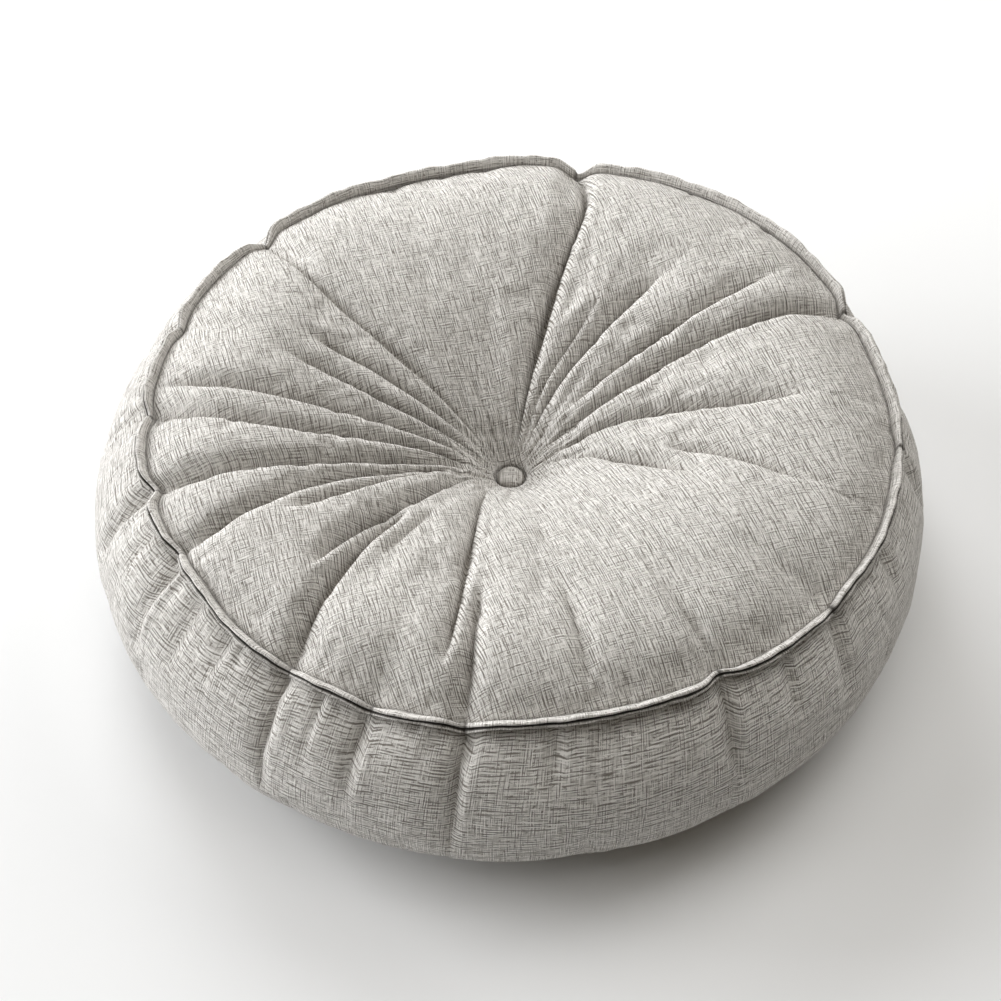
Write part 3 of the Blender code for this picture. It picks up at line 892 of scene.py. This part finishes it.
@dataclass(frozen=True)
class HeatheredCloth:
    """The cushion's grey linen-look cloth: its yarns, its two tones, the tint of the shade painted into its
    creases and how its surface takes light.
    """

    name: str
    lay: Lay
    yarn_pitch: float = 0.00095
    slub_length: float = 0.017
    middle_tone: float = 0.67
    warp_contrast: float = 0.95
    weft_contrast: float = 0.58
    pale_yarn: tuple[float, float, float] = (0.90, 0.88, 0.85)
    dark_yarn: tuple[float, float, float] = (0.25, 0.23, 0.205)
    # The colour that the painted shade multiplies the weave's colour by.
    painted_shade_tint: tuple[float, float, float] = (0.42, 0.40, 0.37)
    roughness: float = 0.92
    sheen: float = 0.12
    bump_distance: float = 0.00035

    def material(self, weave: bpy.types.NodeTree) -> bpy.types.Material:
        """Builds the material.

        Args:
            weave: The weave's node group.

        Returns:
            The material, which reads the piece's own cloth map and its crease attribute, the painted shade
            that darkens the weave's colour.
        """
        material = bpy.data.materials.new(self.name)
        material.use_nodes = True
        board = NodeBoard(material.node_tree)
        shader = material.node_tree.nodes["Principled BSDF"]
        place = board.add("ShaderNodeUVMap", uv_map=UV_NAME).outputs[0]
        cloth = board.add("ShaderNodeGroup", node_tree=weave)
        settings = {
            "Place": place, "Yarn Pitch": self.yarn_pitch, "Slub Length": self.slub_length,
            "Middle Tone": self.middle_tone,
            "Warp Contrast": self.warp_contrast, "Weft Contrast": self.weft_contrast,
            "Pale Yarn": (*self.pale_yarn, 1.0), "Dark Yarn": (*self.dark_yarn, 1.0),
        }
        for name, value in settings.items():
            board.feed(cloth.inputs[name], value)
        # Painted shade: the weave's colour is multiplied by the dark tint where the crease attribute is high.
        crease = board.add("ShaderNodeAttribute", attribute_name=PAINTED_SHADE_ATTRIBUTE).outputs["Fac"]
        color = board.mix(crease, cloth.outputs["Color"], (*self.painted_shade_tint, 1.0), "MULTIPLY")
        board.feed(shader.inputs["Base Color"], color)
        crinkle = board.noise(place, 260.0, 2.0)
        height = board.maths("MULTIPLY_ADD", crinkle, 0.8, cloth.outputs["Height"])
        bump = board.add("ShaderNodeBump")
        bump.inputs["Strength"].default_value = 1.0
        bump.inputs["Distance"].default_value = self.bump_distance
        board.feed(bump.inputs["Height"], height)
        board.feed(shader.inputs["Normal"], bump.outputs[0])
        shader.inputs["Roughness"].default_value = self.roughness
        shader.inputs["Specular IOR Level"].default_value = 0.2
        shader.inputs["Sheen Weight"].default_value = self.sheen
        shader.inputs["Sheen Roughness"].default_value = 0.5
        return material


def dress(obj: bpy.types.Object, finish: HeatheredCloth, weave: bpy.types.NodeTree, node: str) -> None:
    """Gives a finished piece its cloth and its place in the frame.

    Args:
        obj: The piece.
        finish: Its cloth.
        weave: The weave's node group.
        node: The plain node that it stands for.
    """
    obj.data.materials.clear()
    obj.data.materials.append(finish.material(weave))
    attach(obj, BODY)
    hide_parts(node)
    log.info("%s: %d vertices, %d faces", obj.name, len(obj.data.vertices), len(obj.data.polygons))


def write_uv(mesh: bpy.types.Mesh, corner_uv: Numbers) -> None:
    """Stores the cloth map of a mesh, a row of two numbers for each face corner."""
    layer = mesh.uv_layers.get(UV_NAME) or mesh.uv_layers.new(name=UV_NAME)
    layer.data.foreach_set("uv", corner_uv.astype(np.float32).ravel())


def write_attribute(mesh: bpy.types.Mesh, name: str, values: Numbers) -> None:
    """Stores one number for each vertex."""
    attribute = mesh.attributes.get(name) or mesh.attributes.new(name, "FLOAT", "POINT")
    attribute.data.foreach_set("value", values.astype(np.float32))


def corner_vertices(mesh: bpy.types.Mesh) -> Numbers:
    """The vertex of each face corner."""
    found = np.zeros(len(mesh.loops), np.int32)
    mesh.loops.foreach_get("vertex_index", found)
    return found


def corner_faces(mesh: bpy.types.Mesh) -> Numbers:
    """The face of each face corner."""
    totals = np.zeros(len(mesh.polygons), np.int32)
    mesh.polygons.foreach_get("loop_total", totals)
    return np.repeat(np.arange(len(totals)), totals)


def unwrapped(turns: Numbers, faces: Numbers) -> Numbers:
    """Angles at face corners, moved by whole turns so that no face spans the whole circle.

    Args:
        turns: The angle at each corner, in radians.
        faces: The face of each corner.

    Returns:
        The angles, continuous inside each face.
    """
    starts = np.searchsorted(faces, np.arange(faces[-1] + 1))
    first = turns[starts][faces]
    return first + (turns - first + math.pi) % (2.0 * math.pi) - math.pi


# The pieces

@dataclass
class CushionBody:
    """The filled body: a spun shell with the panel's pleats, the seam and the puckered side band."""

    stations: int = 300
    ring_pitch: float = 6.4
    base_rings: int = 8
    crowding: float = 0.72
    weave_turn: float = 18.0
    # How narrow and how dark the painted shade lines are along the pleats' valleys, below the seam and along
    # the puckers.
    steep_shade_sharpness: float = 6.0
    wide_shade_sharpness: float = 3.2
    seam_shade: float = 0.55
    pucker_shade_sharpness: float = 2.6
    pucker_shade: float = 0.55
    gather_depth: float = 3.0
    band_length: float = 183.0
    band_patch: float = 700.0
    base_patch: float = 1500.0
    still_below: float = 0.012
    lumps: tuple[tuple[float, float, float], ...] = ((1.1, 0.055, 1.0), (0.35, 0.017, 2.0))
    panel_wrinkles: tuple[WrinkleField, ...] = (
        WrinkleField(11, 120, (0.0, 2.0), (9.0, 34.0), (0.25, 1.1), (2.6, 5.0), (-2.0, 2.0)),
        WrinkleField(12, 84, (10.0, 150.0), (35.0, 110.0), (0.3, 1.3), (3.5, 8.0), (-6.0, 6.0)),
    )
    band_wrinkles: tuple[WrinkleField, ...] = (
        WrinkleField(13, 130, (0.0, 2.0), (10.0, 42.0), (0.4, 1.9), (2.4, 4.6), (-2.0, 2.0)),
        WrinkleField(14, 60, (10.0, 110.0), (30.0, 80.0), (0.15, 0.6), (5.0, 10.0), (-4.0, 4.0)),
    )
    inflation: Inflation = field(default_factory=Inflation)
    finish: HeatheredCloth = field(
        default_factory=lambda: HeatheredCloth("heathered_body_cloth", Lay.BODY))

    def ring_numbers(self) -> list[float]:
        """The rings of the shell, as numbers in the profile's table with fractions between two rows."""
        found = [1.0]
        for k, (before, after) in enumerate(zip(PROFILE[1:], PROFILE[2:]), start=1):
            even_steps = max(1, round(before.gap(after) / self.ring_pitch))
            steps = self.base_rings if after.name == "base middle" else even_steps
            found += [k + (i + 1) / steps for i in range(steps)]
        return found[:-1]

    def shell(self) -> bpy.types.Object:
        """The shell, spun from the profile and moved to the cushion's form, still open in its two middles."""
        rings = np.array(self.ring_numbers(), np.float32).astype(float)
        section = np.stack([FORM.profile(rings, column) for column in ("radius", "height")], axis=1)
        mesh = spun("cushion_cover", section * MM, self.stations, closed=False)
        ring = rings[ring_labels(mesh)]
        station = station_numbers(read_points(mesh), self.stations)
        angle = FORM.station_angle(station, FORM.place(ring), self.stations, self.crowding)
        write_points(mesh, FORM.surface(ring, angle))
        lay = mesh.attributes.new(LAY_ATTRIBUTE, "FLOAT_VECTOR", "POINT")
        turn = np.radians(angle)
        rows = np.stack([np.cos(turn), np.sin(turn), ring], axis=1)
        lay.data.foreach_set("vector", rows.astype(np.float32).ravel())
        return new_object("cushion_cover", mesh)

    def read_lay(self, mesh: bpy.types.Mesh) -> tuple[Numbers, Numbers]:
        """The ring number and the angle in degrees of each vertex."""
        lay = read_rows(mesh.attributes[LAY_ATTRIBUTE].data, "vector", 3)
        return lay[:, 2], np.degrees(np.arctan2(lay[:, 1], lay[:, 0])) % 360.0

    def hold(self, ring: Numbers, angle: Numbers) -> Numbers:
        """How firmly each vertex is held while the cover is blown up, from 0 to 1."""
        place = FORM.place(ring)
        held = smooth_step(1.6, 0.0, np.abs(ring - FORM.seam_ring))
        held = np.maximum(held, smooth_step(6.0, 3.0, ring))
        held = np.maximum(held, smooth_step(FORM.ring_named("bulge 2"), FORM.ring_named("roll 3"), ring))
        for pleat in PLEATS:
            share = FORM.pleat_reach(pleat, angle, place)[1]
            on_panel = (ring < FORM.seam_ring) * pleat.strength(place)
            held = np.maximum(held, on_panel * np.exp(-(share * 1.6) ** 2) * min(1.0, abs(pleat.depth) / 5.0))
        return held

    def puff(self, cover: bpy.types.Object) -> None:
        """Blows the cover up between its pleats and seams, and keeps its overall size."""
        ring, angle = self.read_lay(cover.data)
        move = self.inflation.swelling(cover, self.hold(ring, angle))
        along = np.stack([np.cos(np.radians(angle)), np.sin(np.radians(angle)), np.zeros_like(angle)], axis=1)
        outward = (move * along).sum(axis=1)
        for number in np.unique(ring):
            near = ring == number
            move[near] -= along[near] * outward[near].mean()
            move[near, 2] -= move[near, 2].mean()
        swell = cover.data.attributes.new(SWELL_ATTRIBUTE, "FLOAT_VECTOR", "POINT")
        swell.data.foreach_set("vector", move.astype(np.float32).ravel())
        log.info("cover puffed by up to %.1f mm", np.linalg.norm(move, axis=1).max() / MM)

    def refine(self, cover: bpy.types.Object) -> bpy.types.Mesh:
        """The cover subdivided once, with its points set on the crisp form and puffed as before."""
        smoother = cover.modifiers.new("Subdivision", "SUBSURF")
        smoother.levels = 1
        smoother.render_levels = 1
        mesh = applied(cover)
        ring, angle = self.read_lay(mesh)
        points = FORM.surface(ring, angle, crisp=1.0)
        if SWELL_ATTRIBUTE in mesh.attributes:
            points = points + read_rows(mesh.attributes[SWELL_ATTRIBUTE].data, "vector", 3)
        write_points(mesh, points)
        return mesh

    def close(self, mesh: bpy.types.Mesh) -> None:
        """Closes the shell's two open middles, under the button and under the base."""
        bm = bmesh.new()
        bm.from_mesh(mesh)
        lay = bm.verts.layers.float_vector[LAY_ATTRIBUTE]
        edges = [edge for edge in bm.edges if edge.is_boundary]
        caps = bmesh.ops.holes_fill(bm, edges=edges, sides=0)["faces"]
        for vert in bmesh.ops.poke(bm, faces=caps)["verts"]:
            near = next(edge.other_vert(vert) for edge in vert.link_edges)
            vert[lay] = near[lay]
        face_outwards(bm)
        bm.to_mesh(mesh)
        bm.free()

    def relieve(self, mesh: bpy.types.Mesh) -> None:
        """Adds the cloth's fine relief: pleat lips, gathers, wrinkles and the filling's lumps; and paints
        shade along the pleat valleys, the puckers and below the seam.
        """
        ring, angle = self.read_lay(mesh)
        points, normals = read_points(mesh), read_normals(mesh)
        place = FORM.place(ring)
        radius = FORM.profile(ring, "radius")
        on_panel = np.clip(FORM.seam_ring - ring, 0.0, 1.0)
        on_band = (ring > FORM.seam_ring) & (ring < FORM.ring_named("foot"))
        lift = np.zeros_like(ring)
        # Painted shade: how far the colour is darkened along the pleats' valleys, along the puckers and in a
        # line below the seam.
        crease = np.zeros_like(ring)
        for pleat in PLEATS:
            distance, share = FORM.pleat_reach(pleat, angle, place)
            strength = pleat.strength(place) * FORM.gather(place) * on_panel
            sharpness = np.where(distance > 0.0, self.steep_shade_sharpness, self.wide_shade_sharpness)
            line = np.exp(-(share * sharpness) ** 1.5)
            crease = np.maximum(crease, strength * line * np.clip(pleat.depth / 10.0, 0, 1))
        reach = FORM.band_reach(ring)
        for pucker in PUCKERS:
            along, share = FORM.pucker_reach(pucker, angle, reach)
            line = along * np.exp(-(np.abs(share + 0.08) * self.pucker_shade_sharpness) ** 1.5)
            line = line * np.clip(pucker.depth / 5.0, 0, 1)
            crease = np.maximum(crease, self.pucker_shade * line * on_band)
        crease = np.maximum(crease, self.seam_shade * hump(ring - FORM.seam_ring, 0.8, 0.9))
        lift -= self.gathers(radius, angle, on_panel)
        lift -= self.wrinkles(ring, angle, radius, on_panel, on_band)
        above = points[:, 2] > self.still_below
        lift += above * sum(height * noise_at(points, pitch, seed) for height, pitch, seed in self.lumps)
        write_points(mesh, points + normals * (lift * MM)[:, None])
        write_attribute(mesh, PAINTED_SHADE_ATTRIBUTE, np.clip(crease, 0.0, 1.0))

    def gathers(self, radius: Numbers, angle: Numbers, on_panel: Numbers) -> Numbers:
        """The fine ripples where the cloth is drawn together round the button, in millimetres."""
        reach = smooth_step(11.0, 18.0, radius) * (1.0 - smooth_step(28.0, 92.0, radius)) * on_panel
        turn = np.radians(angle)
        wave = np.zeros_like(angle)
        for count, phase, share in ((21, 0.3, 0.5), (34, 1.9, 0.3), (55, 4.1, 0.2)):
            ripple = np.sin(0.5 * count * turn + phase + 0.8 * np.sin(3 * turn + phase))
            wave += share * (0.64 - np.abs(ripple))
        return self.gather_depth * reach * wave

    def wrinkles(self, ring: Numbers, angle: Numbers, radius: Numbers, on_panel: Numbers,
                 on_band: Numbers) -> Numbers:
        """The fine wrinkles of the panel and of the band, in millimetres."""
        from_seam = (FORM.seam_radius - radius) * 1.04
        down = FORM.band_reach(ring) * self.band_length
        upper = sum(kind.relief(angle, from_seam, radius) for kind in self.panel_wrinkles)
        lower = sum(kind.relief(angle, down, radius) for kind in self.band_wrinkles)
        return upper * on_panel + lower * on_band

    def map_cloth(self, mesh: bpy.types.Mesh) -> None:
        """Lays the weave: flat across the panel and the base, and round the band."""
        ring, angle = self.read_lay(mesh)
        fine = np.linspace(0.0, FORM.seam_ring, 400)
        line = np.stack([FORM.profile(fine, column) for column in ("radius", "height")], axis=1)
        drawn = np.interp(ring, fine, lengths_along(line))
        turn = np.radians(angle)
        straight = turn - math.radians(self.weave_turn)
        panel = np.stack([drawn * np.cos(straight), drawn * np.sin(straight)], axis=1)
        faces, corners = corner_faces(mesh), corner_vertices(mesh)
        round_band = unwrapped(turn[corners], faces) * FORM.bulge_radius
        down = FORM.band_reach(ring)[corners] * self.band_length
        band = np.stack([self.band_patch - down, round_band], axis=1)
        flat = read_points(mesh)[:, :2] / MM + self.base_patch
        totals = np.bincount(faces)
        middle = (np.bincount(faces, ring[corners]) / totals)[faces]
        uv = np.where((middle < FORM.seam_ring)[:, None], panel[corners], band)
        uv = np.where((middle > FORM.ring_named("foot"))[:, None], flat[corners], uv)
        write_uv(mesh, uv * MM)

    def build(self, weave: bpy.types.NodeTree) -> bpy.types.Object:
        """Makes the body and dresses it.

        Args:
            weave: The weave's node group.

        Returns:
            The finished piece.
        """
        cover = self.shell()
        self.puff(cover)
        mesh = self.refine(cover)
        self.close(mesh)
        mesh.name = "cushion_body_cloth"
        self.relieve(mesh)
        self.map_cloth(mesh)
        mesh.shade_smooth()
        body = new_object("cushion_body_cloth", mesh)
        bpy.data.objects.remove(cover)
        dress(body, self.finish, weave, "cushion_body")
        return body


@dataclass(frozen=True)
class SectionPoint:
    """A corner of the flange's section: along its lean from the root, then across it."""

    along: float
    across: float


@dataclass
class SeamFlange:
    """The raised flange: two plies side by side that lean outwards and follow the seam."""

    stations: int = 900
    points_round: int = 34
    root_drop: float = 1.2
    lean_mean: float = 38.5
    lean_swing: float = 11.5
    tuck_share: float = 0.22
    # Where the shade painted at each tuck sits and how wide it is, in degrees.
    slit_shade_shift: float = 0.15
    slit_shade_width: float = 0.28
    stitch_pitch: float = 3.4
    cloth_patch: float = 3000.0
    finish: HeatheredCloth = field(default_factory=lambda: HeatheredCloth(
        "heathered_flange_cloth", Lay.FLANGE, middle_tone=0.70, warp_contrast=0.55, weft_contrast=0.45,
        painted_shade_tint=(0.14, 0.13, 0.12)))
    section: tuple[SectionPoint, ...] = (
        SectionPoint(-2.4, 0.5), SectionPoint(0.6, 1.0), SectionPoint(2.8, 2.3), SectionPoint(5.2, 2.9),
        SectionPoint(7.2, 2.9), SectionPoint(8.2, 2.1), SectionPoint(7.8, 1.2), SectionPoint(5.6, 0.7),
        SectionPoint(3.6, 0.0), SectionPoint(5.4, -0.6), SectionPoint(7.2, -0.9), SectionPoint(7.9, -1.5),
        SectionPoint(7.2, -2.3), SectionPoint(4.8, -2.4), SectionPoint(3.0, -2.1), SectionPoint(1.0, -1.1),
        SectionPoint(-2.4, -0.5),
    )

    def smooth_section(self) -> Numbers:
        """The section as evenly spread points on a smooth curve, rows of along and across."""
        corners = np.array([(point.along, point.across) for point in self.section])
        lengths = lengths_along(corners)
        at = np.linspace(0.0, lengths[-1], self.points_round)
        return np.stack([curve_through(lengths, corners[:, k], at) for k in (0, 1)], axis=1)

    def station_angles(self) -> Numbers:
        """The angles of the stations, closer together at the tucks."""
        fine = np.linspace(0.0, 360.0, 7201)
        density = np.ones_like(fine)
        for pinch in PINCHES:
            density += 5.0 * hump(turn_between(fine, pinch.angle), 0.0, 1.6)
        total = np.concatenate([[0.0], np.cumsum((density[1:] + density[:-1]) / 2.0)])
        return np.interp(np.arange(self.stations) / self.stations * total[-1], total, fine)

    def place(self, along: Numbers, across: Numbers, angle: Numbers) -> Numbers:
        """The flange's points in metres.

        Args:
            along: How far each point lies along the flange's lean, in millimetres.
            across: How far it lies across the lean, towards the cushion's middle.
            angle: Its angle in degrees.

        Returns:
            Rows of three numbers.
        """
        out, up = FORM.seam_shift(angle)
        turn = np.radians(angle)
        ruffle = waves(turn, ((0.55, 11, 0.7), (0.45, 19, 2.1), (0.4, 34, 4.0)))
        lean = np.radians(self.lean_mean + self.lean_swing * np.sin(turn) + 3.2 * ruffle)
        tip = np.clip(along / 7.0, 0.0, 1.0)
        nearness = np.zeros_like(angle)
        notch = np.zeros_like(angle)
        for pinch in PINCHES:
            past = turn_between(angle, pinch.angle)
            nearness = np.maximum(nearness, hump(past, 0.0, pinch.width))
            sharp = np.where(past < 0.0, hump(past, 0.0, 1.5), hump(past, 0.0, 0.35))
            notch = np.maximum(notch, sharp * min(1.0, 0.55 + abs(pinch.drop) / 8.0))
        along = np.where(along > 0.0, along * (1.0 - self.tuck_share * nearness - 0.30 * notch), along)
        along = along * (1.0 + waves(turn, ((0.05, 27, 1.0), (0.04, 61, 2.0), (0.03, 103, 0.4))) * tip)
        across = across * (1.0 + waves(turn, ((0.12, 23, 3.0), (0.08, 71, 1.0)))) - 1.1 * notch * tip
        stitch = 0.5 + 0.48 * np.cos(turn * FORM.seam_radius * 2.0 * math.pi / self.stitch_pitch)
        across = across * (1.0 - 0.25 * hump(along, 1.6, 1.0) * stitch)
        radius = FORM.seam_radius + out + along * np.cos(lean) - across * np.sin(lean)
        height = FORM.seam_height + up - self.root_drop + along * np.sin(lean) + across * np.cos(lean)
        return np.stack([FORM.seam_centre[0] + radius * np.cos(turn),
                         FORM.seam_centre[1] + radius * np.sin(turn), height], axis=1) * MM

    def build(self, weave: bpy.types.NodeTree) -> bpy.types.Object:
        """Makes the flange and dresses it.

        Args:
            weave: The weave's node group.

        Returns:
            The finished piece.
        """
        section = self.smooth_section()
        beside_seam = section + (FORM.seam_radius, 0.0)
        mesh = spun("seam_flange_cloth", beside_seam * MM, self.stations, closed=True)
        corner = ring_labels(mesh)
        angle = self.station_angles()[station_numbers(read_points(mesh), self.stations).astype(int)]
        along, across = section[corner].T
        write_points(mesh, self.place(along, across, angle))
        lengths = lengths_along(section)
        faces, corners = corner_faces(mesh), corner_vertices(mesh)
        round_seam = unwrapped(np.radians(angle)[corners], faces) * FORM.seam_radius
        down = lengths[corner[corners]]
        totals = np.bincount(faces)
        mean_down = (np.bincount(faces, down) / totals)[faces]
        down = np.where(np.abs(down - mean_down) > lengths[-1] / 3.0, mean_down, down)
        write_uv(mesh, np.stack([down + self.cloth_patch, round_seam], axis=1) * MM)
        # Painted shade: the colour is darkened between the plies at the groove, along the flange's root and
        # in a narrow slit at each tuck.
        between_plies = smooth_step(1.15, 0.75, across) * smooth_step(-1.05, -0.75, across)
        groove_shade = smooth_step(3.0, 3.6, along) * between_plies
        root = smooth_step(1.6, 0.2, along)
        slit_shade = np.zeros_like(angle)
        for pinch in PINCHES:
            past = turn_between(angle, pinch.angle) - self.slit_shade_shift
            slit_shade = np.maximum(slit_shade, hump(past, 0.0, self.slit_shade_width))
        write_attribute(mesh, PAINTED_SHADE_ATTRIBUTE, np.maximum(np.maximum(groove_shade, 0.6 * root), 0.85 * slit_shade))
        mesh.shade_smooth()
        flange = new_object("seam_flange_cloth", mesh)
        dress(flange, self.finish, weave, "seam_flange")
        return flange


@dataclass
class TuftButton:
    """The self-covered button: a shallow dome with its cloth drawn over the rim."""

    steps: int = 96
    rise: float = 0.3
    seat_height: float = 73.0
    finish: HeatheredCloth = field(default_factory=lambda: HeatheredCloth(
        "heathered_button_cloth", Lay.BUTTON, middle_tone=0.50, warp_contrast=0.40, weft_contrast=0.30))
    section: tuple[tuple[float, float], ...] = (
        (0.0, 0.0), (4.5, 0.0), (8.4, 0.0), (9.1, 0.4), (9.4, 1.2), (9.4, 2.6), (9.15, 3.6), (8.6, 4.5),
        (7.8, 5.15), (6.8, 5.65), (5.4, 6.1), (3.8, 6.45), (2.0, 6.7), (0.0, 6.8),
    )

    def build(self, weave: bpy.types.NodeTree) -> bpy.types.Object:
        """Makes the button and dresses it.

        Args:
            weave: The weave's node group.

        Returns:
            The finished piece.
        """
        middle = Vector((FORM.button_centre[0], FORM.button_centre[1], self.seat_height + self.rise)) * MM
        bm = bmesh.new()
        verts = [bm.verts.new(middle + Vector((radius, 0.0, height)) * MM) for radius, height in self.section]
        edges = [bm.edges.new(pair) for pair in zip(verts, verts[1:])]
        bmesh.ops.spin(bm, geom=verts + edges, cent=middle, axis=(0.0, 0.0, 1.0), angle=2.0 * math.pi,
                       steps=self.steps, use_merge=True, use_duplicate=False)
        bmesh.ops.remove_doubles(bm, verts=bm.verts[:], dist=0.00001)
        face_outwards(bm)
        mesh = bpy.data.meshes.new("tuft_button_cloth")
        bm.to_mesh(mesh)
        bm.free()
        points = read_points(mesh)
        offset = points - np.array(middle)
        reach = np.hypot(offset[:, 0], offset[:, 1]) / MM
        turn = np.arctan2(offset[:, 1], offset[:, 0])
        pleats = 0.16 * np.cos(26 * turn + 0.6 * np.sin(5 * turn)) * smooth_step(7.6, 9.2, reach)
        points[:, :2] -= offset[:, :2] / np.maximum(reach, 1e-6)[:, None] * (pleats + 0.16)[:, None] * (
            reach > 1.0)[:, None]
        write_points(mesh, points)
        corners = corner_vertices(mesh)
        write_uv(mesh, (offset[:, :2] + np.array([5.0, 5.0]))[corners])
        # Painted shade: the colour is darkened in a ring where the cloth turns under the rim.
        write_attribute(mesh, PAINTED_SHADE_ATTRIBUTE, 0.5 * smooth_step(8.2, 9.3, reach))
        mesh.shade_smooth()
        button = new_object("tuft_button_cloth", mesh)
        dress(button, self.finish, weave, "tuft_button")
        return button


# The studio

@dataclass(frozen=True)
class Softbox:
    """A large round soft light, aimed at the cushion: its bearing, its size and its strength."""

    name: str
    azimuth: float
    elevation: float
    distance: float
    size: float
    power: float
    color: tuple[float, float, float]

    def hang(self) -> None:
        """Adds the light to the scene."""
        turn, tilt = math.radians(self.azimuth), math.radians(self.elevation)
        direction = Vector((math.cos(turn) * math.cos(tilt), math.sin(turn) * math.cos(tilt), math.sin(tilt)))
        data = bpy.data.lights.new(self.name, "AREA")
        data.shape = "DISK"
        data.size = self.size
        data.energy = self.power
        data.color = self.color
        light = bpy.data.objects.new(self.name, data)
        light.location = direction * self.distance
        light.rotation_euler = (-direction).to_track_quat("-Z", "Y").to_euler()
        bpy.context.scene.collection.objects.link(light)


@dataclass
class Studio:
    """A pale floor under low window lights, soft top lights and a faint warm fill."""

    floor_half: float = 20.0
    floor_color: tuple[float, float, float] = (0.90, 0.91, 0.92)
    fill_color: tuple[float, float, float] = (1.0, 0.80, 0.48)
    fill_strength: float = 0.058
    softboxes: tuple[Softbox, ...] = (
        Softbox("window_left", 185.0, 18.0, 5.1, 2.6, 100.0, (0.98, 0.988, 1.0)),
        Softbox("window_middle", 160.0, 18.0, 5.1, 2.6, 190.0, (0.98, 0.988, 1.0)),
        Softbox("window_back", 110.0, 28.0, 5.1, 2.6, 128.0, (0.98, 0.988, 1.0)),
        Softbox("ceiling", 90.0, 88.0, 4.0, 4.6, 46.0, (1.0, 0.985, 0.96)),
        Softbox("top_light", 90.0, 70.0, 4.8, 3.6, 30.0, (1.0, 0.99, 0.97)),
        Softbox("right_light", 45.0, 35.0, 5.1, 3.4, 88.0, (1.0, 0.985, 0.96)),
    )

    def floor(self) -> bpy.types.Object:
        """Lays the floor."""
        bm = bmesh.new()
        bmesh.ops.create_grid(bm, x_segments=1, y_segments=1, size=self.floor_half)
        mesh = bpy.data.meshes.new("studio_floor")
        bm.to_mesh(mesh)
        bm.free()
        floor = new_object("studio_floor", mesh)
        material = bpy.data.materials.new("pale_floor")
        material.use_nodes = True
        shader = material.node_tree.nodes["Principled BSDF"]
        shader.inputs["Base Color"].default_value = (*self.floor_color, 1.0)
        shader.inputs["Roughness"].default_value = 1.0
        shader.inputs["Specular IOR Level"].default_value = 0.0
        mesh.materials.append(material)
        return floor

    def even_light(self) -> None:
        """Sets the light that comes from all round."""
        world = bpy.data.worlds.new("studio")
        world.use_nodes = True
        sky = world.node_tree.nodes["Background"]
        sky.inputs["Color"].default_value = (*self.fill_color, 1.0)
        sky.inputs["Strength"].default_value = self.fill_strength
        bpy.context.scene.world = world

    def build(self) -> None:
        """Sets up the studio."""
        self.floor()
        self.even_light()
        for softbox in self.softboxes:
            softbox.hang()
        bpy.context.scene.view_settings.view_transform = "Standard"
        log.info("studio ready")


@dataclass
class ViewCamera:
    """The camera at the photograph's angle, worked out for a square frame."""

    target: tuple[float, float, float] = (0.0, 0.0, 0.07)
    elevation: float = 49.4
    distance: float = 1.6
    roll: float = 0.0167
    frame_side: float = 1001.0
    pixels_per_metre: float = 1469.0
    target_pixel: tuple[float, float] = (508.9, 483.5)

    def build(self) -> bpy.types.Object:
        """Makes the camera and makes it the scene's."""
        data = bpy.data.cameras.new("view")
        data.lens = self.pixels_per_metre * self.distance / self.frame_side * data.sensor_width
        data.shift_x = 0.5 - self.target_pixel[0] / self.frame_side
        data.shift_y = self.target_pixel[1] / self.frame_side - 0.5
        tilt = math.radians(self.elevation)
        back = Vector((0.0, -math.cos(tilt), math.sin(tilt)))
        right = Vector((1.0, 0.0, 0.0))
        up = back.cross(right)
        rolled_right = math.cos(self.roll) * right + math.sin(self.roll) * up
        rolled_up = back.cross(rolled_right)
        camera = bpy.data.objects.new("view", data)
        turn = Matrix((rolled_right, rolled_up, back)).transposed().to_4x4()
        camera.matrix_world = Matrix.Translation(Vector(self.target) + back * self.distance) @ turn
        bpy.context.scene.collection.objects.link(camera)
        bpy.context.scene.camera = camera
        return camera


def main() -> None:
    """Builds the studio, the camera and the three pieces, in order."""
    logging.basicConfig(level=logging.INFO, format="%(name)s: %(message)s")
    ViewCamera().build()
    Studio().build()
    weave = plain_weave_group()
    for piece in (CushionBody(), SeamFlange(), TuftButton()):
        piece.build(weave)


if __name__ == "__main__":
    main()
